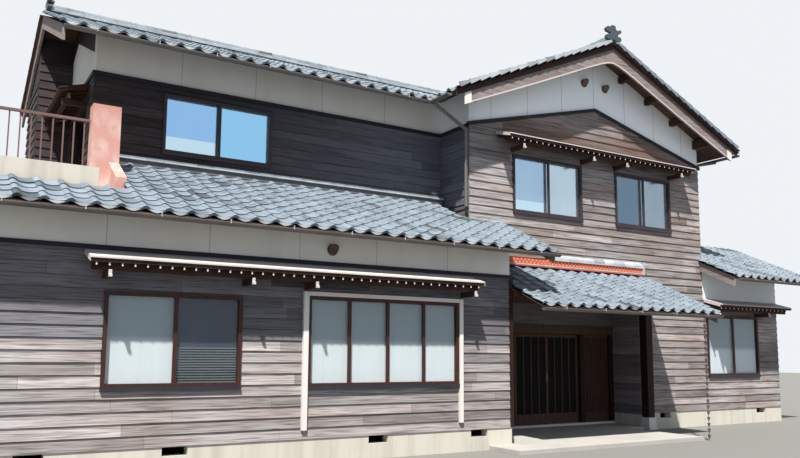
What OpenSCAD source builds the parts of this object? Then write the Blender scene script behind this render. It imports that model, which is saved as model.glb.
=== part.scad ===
// Two-storey townhouse with boarded walls, white plaster bands and grey tiled roofs.
// House frame: X runs along the street front, Y goes back from it, Z is up.
// The front left corner of the gabled wing is the zero of the house frame.
// Every part is then moved so that the origin is under the middle of the whole house.

/* [Gabled wing] */
// Width over the boards
gable_w = 6520; // [6300:10:6800]
// Depth over the boards
gable_d = 6400; // [6000:10:7000]
// Height of the boards' foot at the two ends of the sloping black band
band_end_z = 5810; // [5700:10:5900]
// Height of the sloping black band at the middle
band_top_z = 6630; // [6500:10:6700]
// Height of the tiles at the eaves
gable_eave_z = 6240; // [6200:10:6300]
// How far the eaves reach past the side walls
gable_eave_out = 720; // [600:10:800]
// How far the roof reaches past the front and rear walls
gable_verge_out = 620; // [500:10:700]

/* [Upper storey on the left] */
// Length of the upper storey to the left of the gabled wing
upper_l = 6410; // [6000:10:6700]
// Setback of its front wall behind the gabled wing
upper_y = 909; // [800:1:1000]
// Its rear wall's outer face
upper_rear_y = 4545; // [4300:1:4800]
// Front edge of its tiled eave
upper_eave_y = 150; // [100:10:250]
// How far its roof reaches past the left wall
upper_verge_out = 640; // [500:10:700]
// Slope of the main roofs, rise over run
main_slope = 0.43; // [0.40:0.01:0.45]

/* [Ground storey on the left] */
// Outer face of the front wall
lower_y = -1130; // [-1200:10:-1000]
// Outer face of the left end wall
lower_x = -8181; // [-8400:1:-7800]
// Height of the lean-to roof's tiles at its front edge
lean_eave_z = 3346; // [3300:1:3400]
// Front edge of the lean-to roof
lean_eave_y = -1600; // [-1700:10:-1500]
// Right edge of the lean-to roof, past the gabled wing's corner
lean_right_x = 680; // [600:10:750]
// Left edge of the lean-to roof
lean_left_x = -6300; // [-6350:10:-6250]
// Slope of the lower roofs, rise over run
lean_slope = 0.456; // [0.43:0.001:0.47]

/* [Right wing] */
// Length of the single-storey wing
wing_l = 2730; // [2400:10:3000]
// Depth of the single-storey wing
wing_d = 2780; // [2600:10:3000]
// Front edge of its roof
wing_eave_y = -910; // [-950:10:-850]
// Height of its tiles at the front edge
wing_eave_z = 3330; // [3300:10:3400]

/* [Entrance] */
// Height of the porch slab
slab_h = 70; // [50:5:100]
// Left and right ends and front edge of the porch slab
slab_left_x = -470; // [-550:10:-400]
slab_right_x = 3900; // [3800:10:4000]
slab_front_y = -1900; // [-2000:10:-1850]
// Outer face of the wall at the right side of the recess
recess_right_x = 4610; // [4550:10:4700]
// Front edge of the entrance roof
porch_eave_y = -1870; // [-1900:10:-1800]
// Height of its tiles at the front edge
porch_eave_z = 2420; // [2380:10:2450]
// Left and right edges of the entrance roof
porch_left_x = 60; // [30:10:100]
porch_right_x = 4550; // [4500:10:4600]
// Left edge of the doorway
door_x = 1800; // [1750:10:1850]
// Width of one sliding leaf
leaf_w = 915; // [880:5:930]
// Height of the leaves
leaf_h = 1835; // [1800:5:1850]
// Thickness of the leaves
leaf_t = 34; // [30:1:40]

/* [Walls and floors] */
// Thickness of the walls
wall_t = 150; // [120:10:180]
// Height of the concrete footing
footing_h = 345; // [300:5:400]
// Top of the ground floor
ground_floor_z = 460; // [420:10:500]
// Top of the upper floor
upper_floor_z = 3420; // [3380:10:3450]
// Foot of the white plaster on the upper storey
upper_plaster_z = 5780; // [5700:10:5850]
// Foot of the white plaster on the ground storey
lower_plaster_z = 2800; // [2750:10:2850]
// Ceiling of the entrance recess
recess_top_z = 2620; // [2600:10:2700]

/* [Roof build-up] */
// Thickness of tiles and boarding together, square to the slope
roof_t = 100; // [90:5:140]
// Width of the bargeboards
barge_w = 215; // [190:5:260]
// Thickness of the bargeboards
barge_t = 40; // [30:1:60]

/* [Hidden] */

eps = 1;
gable_mid = gable_w / 2;
gable_half = gable_mid + gable_eave_out;
gable_top_z = gable_eave_z + main_slope * gable_half;
main_angle = atan(main_slope);
lean_angle = atan(lean_slope);
roof_drop = roof_t / cos(main_angle);
lean_drop = roof_t / cos(lean_angle);
upper_mid_y = (upper_y + upper_rear_y) / 2;
upper_eave_z = gable_eave_z;
upper_top_z = upper_eave_z + main_slope * (upper_mid_y - upper_eave_y);
upper_left_x = -upper_l - upper_verge_out;
wing_right_x = gable_w + wing_l;
wing_mid_y = wing_d / 2;
wing_verge_out = 400;
wing_left_x = 6410;
// Terrace: under side and top of the deck, its front edge, pillar and low wall
terrace_foot_z = 3450;
terrace_z = 3600;
terrace_front_y = -600;
curb_z = 3960;
rail_top_z = 4840;
pillar_x0 = -6540;
pillar_deep = 260;
pillar_top_z = 5040;
pillar_y0 = 100;
parapet_x0 = -6300;
parapet_x1 = -6155;
// Closet bay over the terrace
closet_x = -6950;
closet_y = 3200;
// Entrance: left boarded piece's edge, posts, head, sill, tracks and clearance of the leaves
wall_left_x1 = 740;
corner_post_x0 = recess_right_x;
corner_post_x1 = recess_right_x + 180;
corner_post_out = 30;
// Width of the doorway's jambs, and their gap to the wall at the right
jamb = 119;
side_gap = 12;
base_h = 250;
sill_h = 45;
clear = 8;
lap = 30;
door_right = door_x + 2 * leaf_w - lap;
track_y = upper_y + 20;
track_pitch = leaf_t + 10;
head_z = slab_h + sill_h + 2 * clear + leaf_h;
head_beam_h = 175;
porch_beam_y = -1150;
porch_ridge_z = 3235;
// How far the black bands stand out from the walls, and the band at the foot of the ground storey's
// plaster
band_out = 45;
foot_band_out = 22;
foot_band_h = 60;
// Bargeboards of the gable: half length, upper edge at the middle, width, rounding and sweep
barge_x = gable_half - 250;
barge_z0 = gable_top_z - 172;
barge_drop = barge_w / cos(main_angle);
barge_round = 220;
barge_sag = 22;
// Their distance behind the roof's edge, and the strip above them with its thickness
barge_in = 65;
strip_in = 42;
strip_t = 22;
strip_w = 93;

// Window frames: how far they stand out, width of their bars, how far they lap over the wall, place of
// the glass
frame_out = 45;
frame_bar = 30;
frame_flange = 20;
glass_out = 12;

// Rolls of the tiled slopes: one tile's width, and the line of its top as [share of the width, height]
tile_pitch = 283;
roll = [[0, -34], [0.08, 0], [0.22, 0], [0.42, -42], [0.80, -48]];
roll_margin = 10;
// The top of a slab seen along its slope, from right to left, reaching past both ends; without a pitch
// it is flat
function roll_line(width, pitch) = pitch == 0 ? [[width + roll_margin, 0], [-roll_margin, 0]] :
    let (n = round(width / pitch), step = (width + 2 * roll_margin) / n) concat([[width + roll_margin,
        roll[0][1]]],
        [for (i = [n - 1 : -1 : 0], k = [len(roll) - 1 : -1 : 0]) [(i + roll[k][0]) * step - roll_margin,
            roll[k][1]]]);

// Under side of each roof at a given place
function gable_under(x) = gable_top_z - main_slope * abs(x - gable_mid) - roof_drop;
function upper_under(y) = upper_top_z - main_slope * abs(y - upper_mid_y) - roof_drop;
// Foot of the boarded strip along the upper storey's left verge
function upper_strip_z(y) = upper_under(y) - 380;
function lean_under(y) = lean_eave_z + lean_slope * (y - lean_eave_y) - lean_drop;
function porch_under(y) = porch_eave_z + lean_slope * (y - porch_eave_y) - lean_drop;
function wing_under(y) = wing_eave_z + lean_slope * (wing_mid_y - abs(y - wing_mid_y) - wing_eave_y) -
    lean_drop;

// Whole size, which places the origin under the middle
house_left = lower_x - 20;
house_right = wing_right_x + wing_verge_out;
house_front = porch_eave_y - 90;
house_rear = gable_d + gable_verge_out;
module placed() {
    translate([-(house_left + house_right) / 2, -(house_front + house_rear) / 2, 0])
        children();
}

boards = [0.50, 0.46, 0.44];
dark_boards = [0.20, 0.19, 0.20];
plaster = [0.90, 0.88, 0.83];
dark_wood = [0.20, 0.11, 0.08];
weathered = [0.42, 0.35, 0.31];
tile = [0.52, 0.58, 0.64];
concrete = [0.78, 0.76, 0.71];
mortar = [0.85, 0.50, 0.42];
white_paint = [0.92, 0.91, 0.88];
metal = [0.35, 0.35, 0.36];

// A block given by its two corners
module block(low, high) {
    translate(low)
        cube(high - low);
}

// A plate standing along X, from an outline in X and Z, its outer face at y
module plate_x(y, outline, t = wall_t) {
    translate([0, y + t, 0])
        rotate([90, 0, 0])
            linear_extrude(t)
                polygon(outline);
}

// A plate standing along Y, from an outline in Y and Z, between x and x + t
module plate_y(x, outline, t = wall_t) {
    translate([x, 0, 0])
        rotate([90, 0, 90])
            linear_extrude(t)
                polygon(outline);
}

// A slab rising along Y from y0, z0 and cut upright along a plan outline. With a pitch, its top is a
// tiled
// slope: round rolls that run up the slope, with flat pans between them; the rolls' tops start at y0, z0.
module slope_back(y0, z0, angle, plan, t = roof_t, pitch = 0) {
    x0 = min([for (p = plan) p[0]]);
    x1 = max([for (p = plan) p[0]]);
    y1 = max([for (p = plan) p[1]]);
    run = (y1 - y0) / cos(angle);
    past = t * tan(angle) + 10;
    intersection() {
        translate([x0, y0, z0])
            rotate([90 + angle, 0, 0])
                translate([0, 0, -run - past])
                    linear_extrude(run + 2 * past)
                        polygon(concat([[-roll_margin, -t], [x1 - x0 + roll_margin, -t]],
                            roll_line(x1 - x0, pitch)));
        translate([0, 0, z0 - t / cos(angle) - 10])
            linear_extrude((y1 - y0) * tan(angle) + t / cos(angle) + 20)
                polygon(plan);
    }
}

// The same slab rising along X from x0
module slope_right(x0, z0, angle, plan, t = roof_t, pitch = 0) {
    rotate([0, 0, -90])
        slope_back(x0, z0, angle, [for (p = plan) [-p[1], p[0]]], t, pitch);
}

// Windows as [left, right, foot, head] of the hole in the wall
upper_window = [-5345, -3550, 4690, 5610];
gable_windows = [[1045, 2815, 4255, 5340], [3810, 5490, 4255, 5340]];
lower_window_a = [-6470, -4720, 1110, 2270];
lower_window_b = [-3700, -1100, 1080, 2330];
wing_window = [6620, 8440, 1110, 2420];
rear_lower = [[-7300, -5500, 1080, 2340], [-3700, -1900, 1080, 2340]];
rear_upper = [[-5345, -3550, 4690, 5610], [-2700, -900, 4690, 5610]];
gable_rear_windows = [[1045, 2815, 4255, 5340], [3705, 5475, 4255, 5340]];
side_windows = [[1500, 3300, 4255, 5340], [3900, 5700, 4255, 5340]];
terrace_door = [1400, 2900, 3640, 5500];
closet_way = [3320, 4250, 3640, 5500];

function rect(w) = [[w[0], w[2]], [w[1], w[2]], [w[1], w[3]], [w[0], w[3]]];
function box4(x0, x1, z0, z1) = [[x0, z0], [x1, z0], [x1, z1], [x0, z1]];

// A wall plate along X with window holes
module holed_x(y, outline, holes, t = wall_t) {
    difference() {
        plate_x(y, outline, t);
        for (h = holes)
            plate_x(y - eps, rect(h), t + 2 * eps);
    }
}

// A wall plate along Y with window holes
module holed_y(x, outline, holes, t = wall_t) {
    difference() {
        plate_y(x, outline, t);
        for (h = holes)
            plate_y(x - eps, rect(h), t + 2 * eps);
    }
}

// Concrete strips under the walls, with the vent slots in the front ones
module footings() {
    z = footing_h;
    out = 10;
    slot_w = 330;
    slot_h = 110;
    color(concrete) placed() {
        difference() {
            block([lower_x - out, lower_y - out, 0], [out, lower_y + wall_t, z]);
            for (x = [-7400, -5700, -2700, -830])
                block([x, lower_y - 2 * out, z - slot_h - 10],
                    [x + slot_w, lower_y + wall_t + out, z - 10]);
        }
        block([lower_x - out, lower_y + wall_t + eps, 0],
            [lower_x + wall_t, upper_rear_y - wall_t - eps, z]);
        block([lower_x - out, upper_rear_y - wall_t, 0], [-eps, upper_rear_y + out, z]);
        block([-wall_t, lower_y + wall_t + eps, 0], [0, upper_y + wall_t, z]);
        difference() {
            block([corner_post_x1 + eps, -out, 0], [wing_right_x + out, wall_t, z]);
            for (x = [4980, 8300])
                block([x, -2 * out, z - slot_h - 10], [x + slot_w, wall_t + out, z - 10]);
        }
        block([recess_right_x - out, wall_t + eps, 0],
            [recess_right_x + wall_t, upper_y + wall_t, z - 50]);
        block([gable_w - wall_t, wall_t + eps, 0], [gable_w, gable_d - wall_t - eps, z]);
        block([0, upper_rear_y - wall_t, 0], [wall_t, gable_d - wall_t - eps, z]);
        block([-out, gable_d - wall_t, 0], [gable_w + out, gable_d + out, z]);
        block([wing_right_x - wall_t, wall_t + eps, 0], [wing_right_x + out, wing_d - wall_t - eps, z]);
        block([gable_w + eps, wing_d - wall_t, 0], [wing_right_x + out, wing_d + out, z]);
    }
}

// Low porch slab in front of and inside the recess
module porch_slab() {
    color(concrete) placed() {
        union() {
            block([slab_left_x, slab_front_y, 0], [slab_right_x, lower_y - 11, slab_h]);
            block([11, lower_y - 20, 0], [slab_right_x, -11, slab_h]);
            block([11, -20, 0], [recess_right_x - 151, upper_y - eps, slab_h]);
        }
        block([recess_right_x - 150, wall_t + 2 * eps, 0], [recess_right_x - 11, upper_y - eps, slab_h]);
    }
}

// Concrete floor inside the entrance
module entrance_floor() {
    color(concrete) placed()
        block([wall_t, upper_y, 0], [recess_right_x - 10 - eps, 2900, slab_h]);
}

// Raised boarded floors of the ground storey
module ground_floor() {
    z1 = ground_floor_z;
    z0 = z1 - 100;
    color(dark_wood) placed() {
        block([lower_x + wall_t, lower_y + wall_t, z0], [-wall_t, upper_rear_y - wall_t, z1]);
        block([wall_t, 2900 + eps, z0], [gable_w - wall_t, gable_d - wall_t, z1]);
        block([recess_right_x + wall_t, wall_t, z0], [gable_w - wall_t, 2900, z1]);
        block([gable_w + eps, wall_t, z0], [wing_right_x - wall_t, wing_d - wall_t, z1]);
    }
}

// Boarded floors of the upper storey
module upper_floor() {
    z1 = upper_floor_z;
    z0 = z1 - 200;
    color(dark_wood) placed() {
        block([-upper_l + wall_t, upper_y + wall_t, z0], [-eps, upper_rear_y - wall_t, z1]);
        block([wall_t, wall_t, z0], [gable_w - wall_t, gable_d - wall_t, z1]);
    }
}

// Boarded front wall of the ground storey, with its two windows
module lower_front_wall() {
    color(boards) placed()
        holed_x(lower_y, box4(lower_x, 0, footing_h, lower_plaster_z), [lower_window_a, lower_window_b]);
}

// Boarded end walls of the ground storey's left part
module lower_end_walls() {
    y0 = lower_y + wall_t + eps;
    y1 = upper_rear_y - wall_t - eps;
    color(boards) placed() {
        plate_y(lower_x, [[y0, footing_h], [y1, footing_h], [y1, terrace_foot_z],
            [terrace_front_y, terrace_foot_z],
            [terrace_front_y, lean_under(terrace_front_y) - eps], [y0, lean_under(y0) - eps]]);
        plate_y(-wall_t, [[y0, footing_h], [upper_y + wall_t, footing_h],
            [upper_y + wall_t, recess_top_z],
            [-31, recess_top_z], [-31, lean_under(-31) - eps], [y0, lean_under(y0) - eps]]);
    }
}

// Boarded front wall of the upper storey
module upper_front_wall() {
    color(dark_boards) placed()
        holed_x(upper_y, box4(-upper_l, -eps, upper_floor_z - 200, upper_plaster_z), [upper_window]);
}

// Boarded left wall of the upper storey with the door to the terrace, the strip along its verge, and the
// closet bay
module upper_end_wall() {
    y0 = upper_y + wall_t + eps;
    y1 = upper_rear_y - wall_t - eps;
    t = 60;
    x0 = closet_x;
    x1 = -upper_l - eps;
    z0 = terrace_z + eps;
    color(dark_boards) placed() {
        holed_y(-upper_l, box4(y0, y1, terrace_foot_z + eps, upper_plaster_z),
            [terrace_door, closet_way]);
        plate_y(-upper_l, [[y0, upper_strip_z(y0) + eps], [upper_mid_y, upper_strip_z(upper_mid_y) + eps],
            [y1, upper_strip_z(y1) + eps], [y1, upper_under(y1) - eps],
                [upper_mid_y, upper_under(upper_mid_y) - eps],
            [y0, upper_under(y0) - eps]]);
        plate_y(x0, [[closet_y, z0], [upper_rear_y, z0], [upper_rear_y, upper_under(upper_rear_y) - eps],
            [closet_y, upper_under(closet_y) - eps]], t);
        plate_x(closet_y, box4(x0 + t + eps, x1, z0, upper_under(closet_y + t) - eps), t);
        plate_x(upper_rear_y - t, box4(x0 + t + eps, x1, z0, upper_under(upper_rear_y) - eps), t);
    }
}

// Boarded front of the gabled wing: over the entrance with two windows, and to the right of the recess
module gable_front_wall() {
    color(boards) placed() {
        holed_x(0, [[0, recess_top_z], [gable_w, recess_top_z], [gable_w, band_end_z],
            [gable_mid, band_top_z], [0, band_end_z]], gable_windows);
        block([corner_post_x1 + eps, 0, footing_h + eps], [gable_w, wall_t, recess_top_z - eps]);
    }
}

// Boarded side walls of the gabled wing
module gable_side_walls() {
    y1 = gable_d - wall_t - eps;
    color(boards) placed() {
        block([0, wall_t + eps, upper_floor_z + eps], [wall_t, upper_y + wall_t, upper_plaster_z]);
        block([0, upper_rear_y - wall_t, footing_h], [wall_t, y1, gable_under(0) - eps]);
        holed_y(gable_w - wall_t, box4(wall_t + eps, y1, footing_h, gable_under(gable_w) - eps),
            side_windows);
    }
}

// Black bands that cover the joint of boards and plaster
module gable_band() {
    low = 50;
    high = 15;
    t = band_out - eps;
    color("black") placed() {
        plate_x(-band_out, [[-band_out, band_end_z - low], [gable_mid, band_top_z - low],
            [gable_w + band_out, band_end_z - low], [gable_w + band_out, band_end_z + high],
            [gable_mid, band_top_z + high], [-band_out, band_end_z + high]], t);
        plate_x(upper_y - band_out, box4(-upper_l - band_out, -band_out - eps, upper_plaster_z - low,
            upper_plaster_z + high), t);
        plate_y(-band_out, box4(0, upper_y - band_out - eps, upper_plaster_z - low,
            upper_plaster_z + high), t);
        plate_y(-upper_l - band_out, box4(upper_y, closet_y - eps, upper_plaster_z - low,
            upper_plaster_z + high), t);
        plate_x(lower_y - foot_band_out,
            box4(lower_x, 0, lower_plaster_z + 2 * eps, lower_plaster_z + foot_band_h),
            foot_band_out - eps);
    }
}

// Rear walls of both storeys
module rear_walls() {
    y = upper_rear_y - wall_t;
    color(boards) placed() {
        holed_x(y, box4(lower_x, -eps, footing_h, terrace_foot_z), rear_lower);
        holed_x(y, box4(-upper_l, -eps, terrace_foot_z + eps, upper_plaster_z), rear_upper);
        holed_x(gable_d - wall_t, [[0, footing_h], [gable_w, footing_h],
            [gable_w, gable_under(gable_w) - eps],
            [gable_mid, gable_under(gable_mid) - eps], [0, gable_under(0) - eps]], gable_rear_windows);
    }
}

// Boarded wall at the right side of the recess, and the boarded ceiling over it
module recess_walls() {
    z = recess_top_z;
    color(dark_boards) placed() {
        block([recess_right_x, wall_t + eps, footing_h - 50 + eps],
            [recess_right_x + wall_t, upper_y + wall_t,
            z - eps]);
        block([eps, wall_t + eps, z], [gable_w - wall_t - eps, upper_y + wall_t, z + 40]);
    }
}

// Walls of the single-storey wing
module wing_walls() {
    x1 = wing_right_x;
    y1 = wing_d - wall_t - eps;
    color(boards) placed() {
        holed_x(0, box4(gable_w + eps, x1, footing_h, lower_plaster_z), [wing_window]);
        plate_y(x1 - wall_t, [[wall_t + eps, footing_h], [y1, footing_h], [y1, wing_under(y1) - eps],
            [wing_mid_y, wing_under(wing_mid_y) - eps], [wall_t + eps, wing_under(wall_t) - eps]]);
        block([gable_w + eps, wing_d - wall_t, footing_h], [x1, wing_d, wing_under(wing_d) - eps]);
    }
}

// Boarded wall beside and over the entrance doors
module entrance_wall() {
    y = upper_y;
    z0 = slab_h;
    color(dark_boards) placed() {
        block([eps, y, z0], [wall_left_x1, y + wall_t, recess_top_z - eps]);
        block([wall_left_x1 + eps, y, head_z + head_beam_h + eps],
            [recess_right_x - eps, y + wall_t, recess_top_z - eps]);
    }
}

// Posts of the entrance: the jambs of the doorway, and the corner posts of the porch
module entrance_posts() {
    y = upper_y;
    z0 = slab_h + sill_h + eps;
    color(dark_wood) placed() {
        for (x = [wall_left_x1 + eps, door_x - clear - jamb, door_right + clear,
            recess_right_x - side_gap - jamb])
            block([x, y - 10, z0], [x + jamb, y + wall_t, head_z]);
        block([corner_post_x0, -corner_post_out, base_h + eps],
            [corner_post_x1, wall_t, recess_top_z - eps]);
        block([corner_post_x0, -corner_post_out, recess_top_z],
            [corner_post_x1, -eps, porch_under(-corner_post_out)]);
        block([-30, lower_y - 25, footing_h + eps], [50, lower_y - eps, lower_plaster_z]);
    }
}

// Head beam over the doors, and the beams that carry the entrance roof
module entrance_head() {
    y = upper_y;
    arm_y = -1290;
    arm_x = porch_right_x - 210;
    beam_z = porch_under(porch_beam_y - 45) - 110;
    color(dark_wood) placed() {
        block([wall_left_x1 + eps, y - 30, head_z + eps],
            [recess_right_x - eps, y + wall_t, head_z + head_beam_h]);
        block([51, porch_beam_y - 45, beam_z], [porch_right_x - 95, porch_beam_y + 45, beam_z + 108]);
        block([arm_x, arm_y, beam_z - 116], [arm_x + 110, wall_t, beam_z - eps]);
        block([51, eps, beam_z], [recess_right_x - eps, wall_t, recess_top_z - eps]);
    }
}

// Sill with its two tracks under the doors, and the tapered white base of the corner post
module entrance_sill() {
    y = upper_y;
    x0 = corner_post_x0;
    x1 = corner_post_x1;
    foot = 50;
    top = 20;
    rim = 5;
    track_in = 10;
    track_deep = 6;
    color(concrete) placed() {
        difference() {
            block([wall_left_x1 + eps, y - 20, slab_h + eps],
                [recess_right_x - side_gap + eps, y + wall_t, slab_h + sill_h]);
            for (k = [0, 1])
                block([door_x, track_y + k * track_pitch + track_in, slab_h + sill_h - track_deep],
                    [door_right, track_y + k * track_pitch + leaf_t - track_in, slab_h + sill_h + eps]);
        }
        hull() {
            block([x0 - foot, -corner_post_out - foot, 0], [x1, wall_t, rim]);
            block([x0 - top, -corner_post_out - top, base_h - rim], [x1, wall_t, base_h]);
        }
    }
}

// Fixed slatted panels on both sides of the doors
module entrance_side_panels() {
    color(dark_wood) placed() {
        side_panel(wall_left_x1 + jamb + 2 * eps, door_x - clear - jamb - eps);
        side_panel(door_right + clear + jamb + eps, recess_right_x - side_gap - jamb - 2 * eps);
    }
}

// One sliding leaf: stiles, rails, three upright bars and a thin panel behind them
module leaf(x, y) {
    z0 = slab_h + sill_h + clear;
    z1 = z0 + leaf_h;
    stile = 66;
    foot = 210;
    bar = 24;
    bar_y = [2, 30];
    panel_y = [18, 26];
    x0 = x + stile - eps;
    x1 = x + leaf_w - stile + eps;
    pitch = (leaf_w - 2 * stile + bar) / 4;
    block([x, y, z0], [x + stile, y + leaf_t, z1]);
    block([x + leaf_w - stile, y, z0], [x + leaf_w, y + leaf_t, z1]);
    block([x0, y, z0], [x1, y + leaf_t, z0 + foot]);
    block([x0, y, z1 - stile], [x1, y + leaf_t, z1]);
    block([x0, y + panel_y[0], z0], [x1, y + panel_y[1], z1]);
    for (i = [1 : 3])
        block([x + stile - bar + i * pitch, y + bar_y[0], z0 + foot - eps],
            [x + stile + i * pitch, y + bar_y[1], z1 - stile + eps]);
}

// Left leaf, on the front track
module sliding_door_left() {
    color(dark_wood) placed()
        leaf(door_x, track_y);
}

// Right leaf, on the rear track
module sliding_door_right() {
    color(dark_wood) placed()
        leaf(door_x + leaf_w - lap, track_y + track_pitch);
}

// A window frame along X: outer frame with a drip sill, middle stiles, all proud of the wall
module frame_x(y, w, panes = 2) {
    x0 = w[0] - frame_flange;
    x1 = w[1] + frame_flange;
    out = frame_out;
    bar = frame_bar;
    stile = 50;
    sill_out = 15;
    pitch = (w[1] - w[0]) / panes;
    difference() {
        union() {
            block([x0, y - out, w[2] - frame_flange], [x1, y - eps, w[3] + frame_flange]);
            block([w[0] + eps, y - 2 * eps, w[2] + eps], [w[1] - eps, y + 70, w[3] - eps]);
            block([x0, y - out - sill_out, w[2] - 60], [x1, y - eps, w[2] - 10]);
        }
        block([w[0] + bar, y - out - 30, w[2] + bar], [w[1] - bar, y + 80, w[3] - bar]);
    }
    for (i = [1 : panes - 1])
        block([w[0] + i * pitch - stile / 2, y - out + 5, w[2] + bar - eps],
            [w[0] + i * pitch + stile / 2,
            y - glass_out - eps, w[3] - bar + eps]);
}

// Frames of all windows
module window_frames() {
    color(dark_wood) placed() {
        frame_x(upper_y, upper_window);
        for (w = gable_windows)
            frame_x(0, w);
        frame_x(lower_y, lower_window_a);
        frame_x(lower_y, lower_window_b, 4);
        frame_x(0, wing_window);
    }
}

// One sheet of glass in each window: close behind the frames' face on the front, in the walls elsewhere
module window_glass() {
    g = frame_bar + eps;
    t = 6;
    back = 80;
    color([0.6, 0.75, 0.85, 0.6]) placed() {
        for (q = [[upper_y, upper_window], [0, gable_windows[0]], [0, gable_windows[1]],
                [lower_y, lower_window_a], [lower_y, lower_window_b], [0, wing_window]])
            block([q[1][0] + g, q[0] - glass_out, q[1][2] + g],
                [q[1][1] - g, q[0] - glass_out + t, q[1][3] - g]);
        for (q = [[upper_rear_y, rear_lower], [upper_rear_y, rear_upper], [gable_d, gable_rear_windows]])
            for (w = q[1])
                block([w[0] + eps, q[0] - back, w[2] + eps], [w[1] - eps, q[0] - back + t, w[3] - eps]);
        for (w = side_windows)
            block([gable_w - back, w[0] + eps, w[2] + eps], [gable_w - back + t, w[1] - eps, w[3] - eps]);
        block([-upper_l + back - t, terrace_door[0] + eps, terrace_door[2] + eps], [-upper_l + back,
            terrace_door[1] - eps, terrace_door[3] - eps]);
    }
}

// White casing round the wide lower window
module window_casing() {
    w = lower_window_b;
    y = lower_y;
    out = 65;
    in = frame_flange + eps;
    left = 78;
    right = 68;
    foot_z = footing_h + 120;
    top_z = w[3] + in + 57;
    color(white_paint) placed() {
        block([w[0] - in - left, y - out, foot_z], [w[0] - in, y - eps, top_z]);
        block([w[1] + in, y - out, foot_z], [w[1] + in + right, y - eps, top_z]);
        block([w[0] - in + eps, y - out, w[3] + in], [w[1] + in - eps, y - eps, top_z]);
    }
}

// A small canopy on a wall at y = 0 that faces -Y: sloping boards in two layers, rafters, a rail and its
// brackets
module canopy(x0, x1, z, brackets) {
    out = 450;
    drop = 130;
    board = 22;
    layer = 40;
    rafter = 30;
    rafter_deep = 45;
    rafter_step = 150;
    step = 15;
    rise = drop / out;
    angle = atan(rise);
    y1 = -out + step;
    y2 = -out + 2 * step;
    rail_y = [-320, -270];
    rail_z = [-275, -185];
    bracket_w = 56;
    bracket_out = 385;
    bracket_deep = 86;
    slope_back(-out, z - drop, angle, [[x0, -out], [x1, -out], [x1, -eps], [x0, -eps]], board);
    slope_back(y1, z - drop + step * rise - board, angle,
        [[x0 + step, y1], [x1 - step, y1], [x1 - step, -eps], [x0 + step, -eps]], layer);
    for (x = [x0 + rafter_step / 2 : rafter_step : x1 - rafter_step / 2]) {
        a = x - rafter / 2;
        b = x + rafter / 2;
        slope_back(y2, z - drop + 2 * step * rise - board - layer, angle,
            [[a, y2], [b, y2], [b, -eps], [a, -eps]], rafter_deep);
    }
    block([x0 + 40, rail_y[0], z + rail_z[0]], [x1 - 40, rail_y[1], z + rail_z[1]]);
    for (x = brackets)
        block([x - bracket_w / 2, -bracket_out, z + rail_z[0] + eps - bracket_deep],
            [x + bracket_w / 2, -eps, z + rail_z[0] + eps]);
}

// Small canopies over the windows
module canopies() {
    color(weathered) placed() {
        canopy(620, 5900, 5750, [1020, 2840, 3790, 5490]);
        translate([0, lower_y, 0])
            canopy(-6750, -870, lower_plaster_z - 5, [-6500, -4680, -3750, -1000]);
        canopy(gable_w + 10, wing_right_x - 60, lower_plaster_z, [gable_w + 48, wing_right_x - 850]);
        translate([-upper_l, 0, 0])
            rotate([0, 0, -90])
                canopy(-closet_y + 60, -1250, 5700, [-closet_y + 160, -1400]);
    }
}

// Half the outline of a pair of bargeboards: upper edge outwards, then the lower edge back
function barge_sweep(x) = main_slope * x + barge_sag * sin(180 * x / barge_x);
function barge_half(s) = concat(
    [for (k = [0 : 8]) [gable_mid + s * barge_x * k / 8, barge_z0 - barge_sweep(barge_x * k / 8)]],
    [for (k = [8 : -1 : 0]) let (x = barge_x * k * k / 64) [gable_mid + s * x, barge_z0 - barge_drop
        - barge_sweep(x) - main_slope * (sqrt(x * x + barge_round * barge_round) - x)]]);

// Bargeboards of the gable at y, with the thinner board over them
module barge_pair(y, y_strip) {
    for (s = [-1, 1])
        plate_x(y, barge_half(s), barge_t);
    x = gable_half - 40;
    top = gable_under(gable_mid) - 2 * eps;
    end = gable_under(gable_mid + x) - 2 * eps;
    plate_x(y_strip, [[gable_mid - x, end], [gable_mid, top], [gable_mid + x, end],
        [gable_mid + x, end - strip_w], [gable_mid, top - strip_w], [gable_mid - x, end - strip_w]], strip_t);
}

// Curved bargeboards of the front and rear gables
module gable_bargeboards() {
    y0 = -gable_verge_out;
    y1 = gable_d + gable_verge_out;
    color(weathered) placed() {
        barge_pair(y0 + barge_in, y0 + strip_in);
        barge_pair(y1 - barge_in - barge_t, y1 - strip_in - strip_t);
    }
}

// Purlins that carry the roof past the gable walls, the lowest ones larger
module gable_purlins() {
    step = 800;
    y0 = -gable_verge_out + barge_in + barge_t + eps;
    y1 = gable_d + gable_verge_out - barge_in - barge_t - eps;
    color(weathered) placed()
        for (k = [0 : 3], s = [-1, 1]) {
            x = gable_mid + s * (k + 1) * step;
            w = k == 3 ? 80 : 55;
            deep = k == 3 ? 200 : 130;
            z = gable_under(abs(x - gable_mid) + w + gable_mid) - eps;
            block([x - w, y0, z - deep], [x + w, -eps, z]);
            block([x - w, gable_d + eps, z - deep], [x + w, y1, z]);
        }
}

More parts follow.
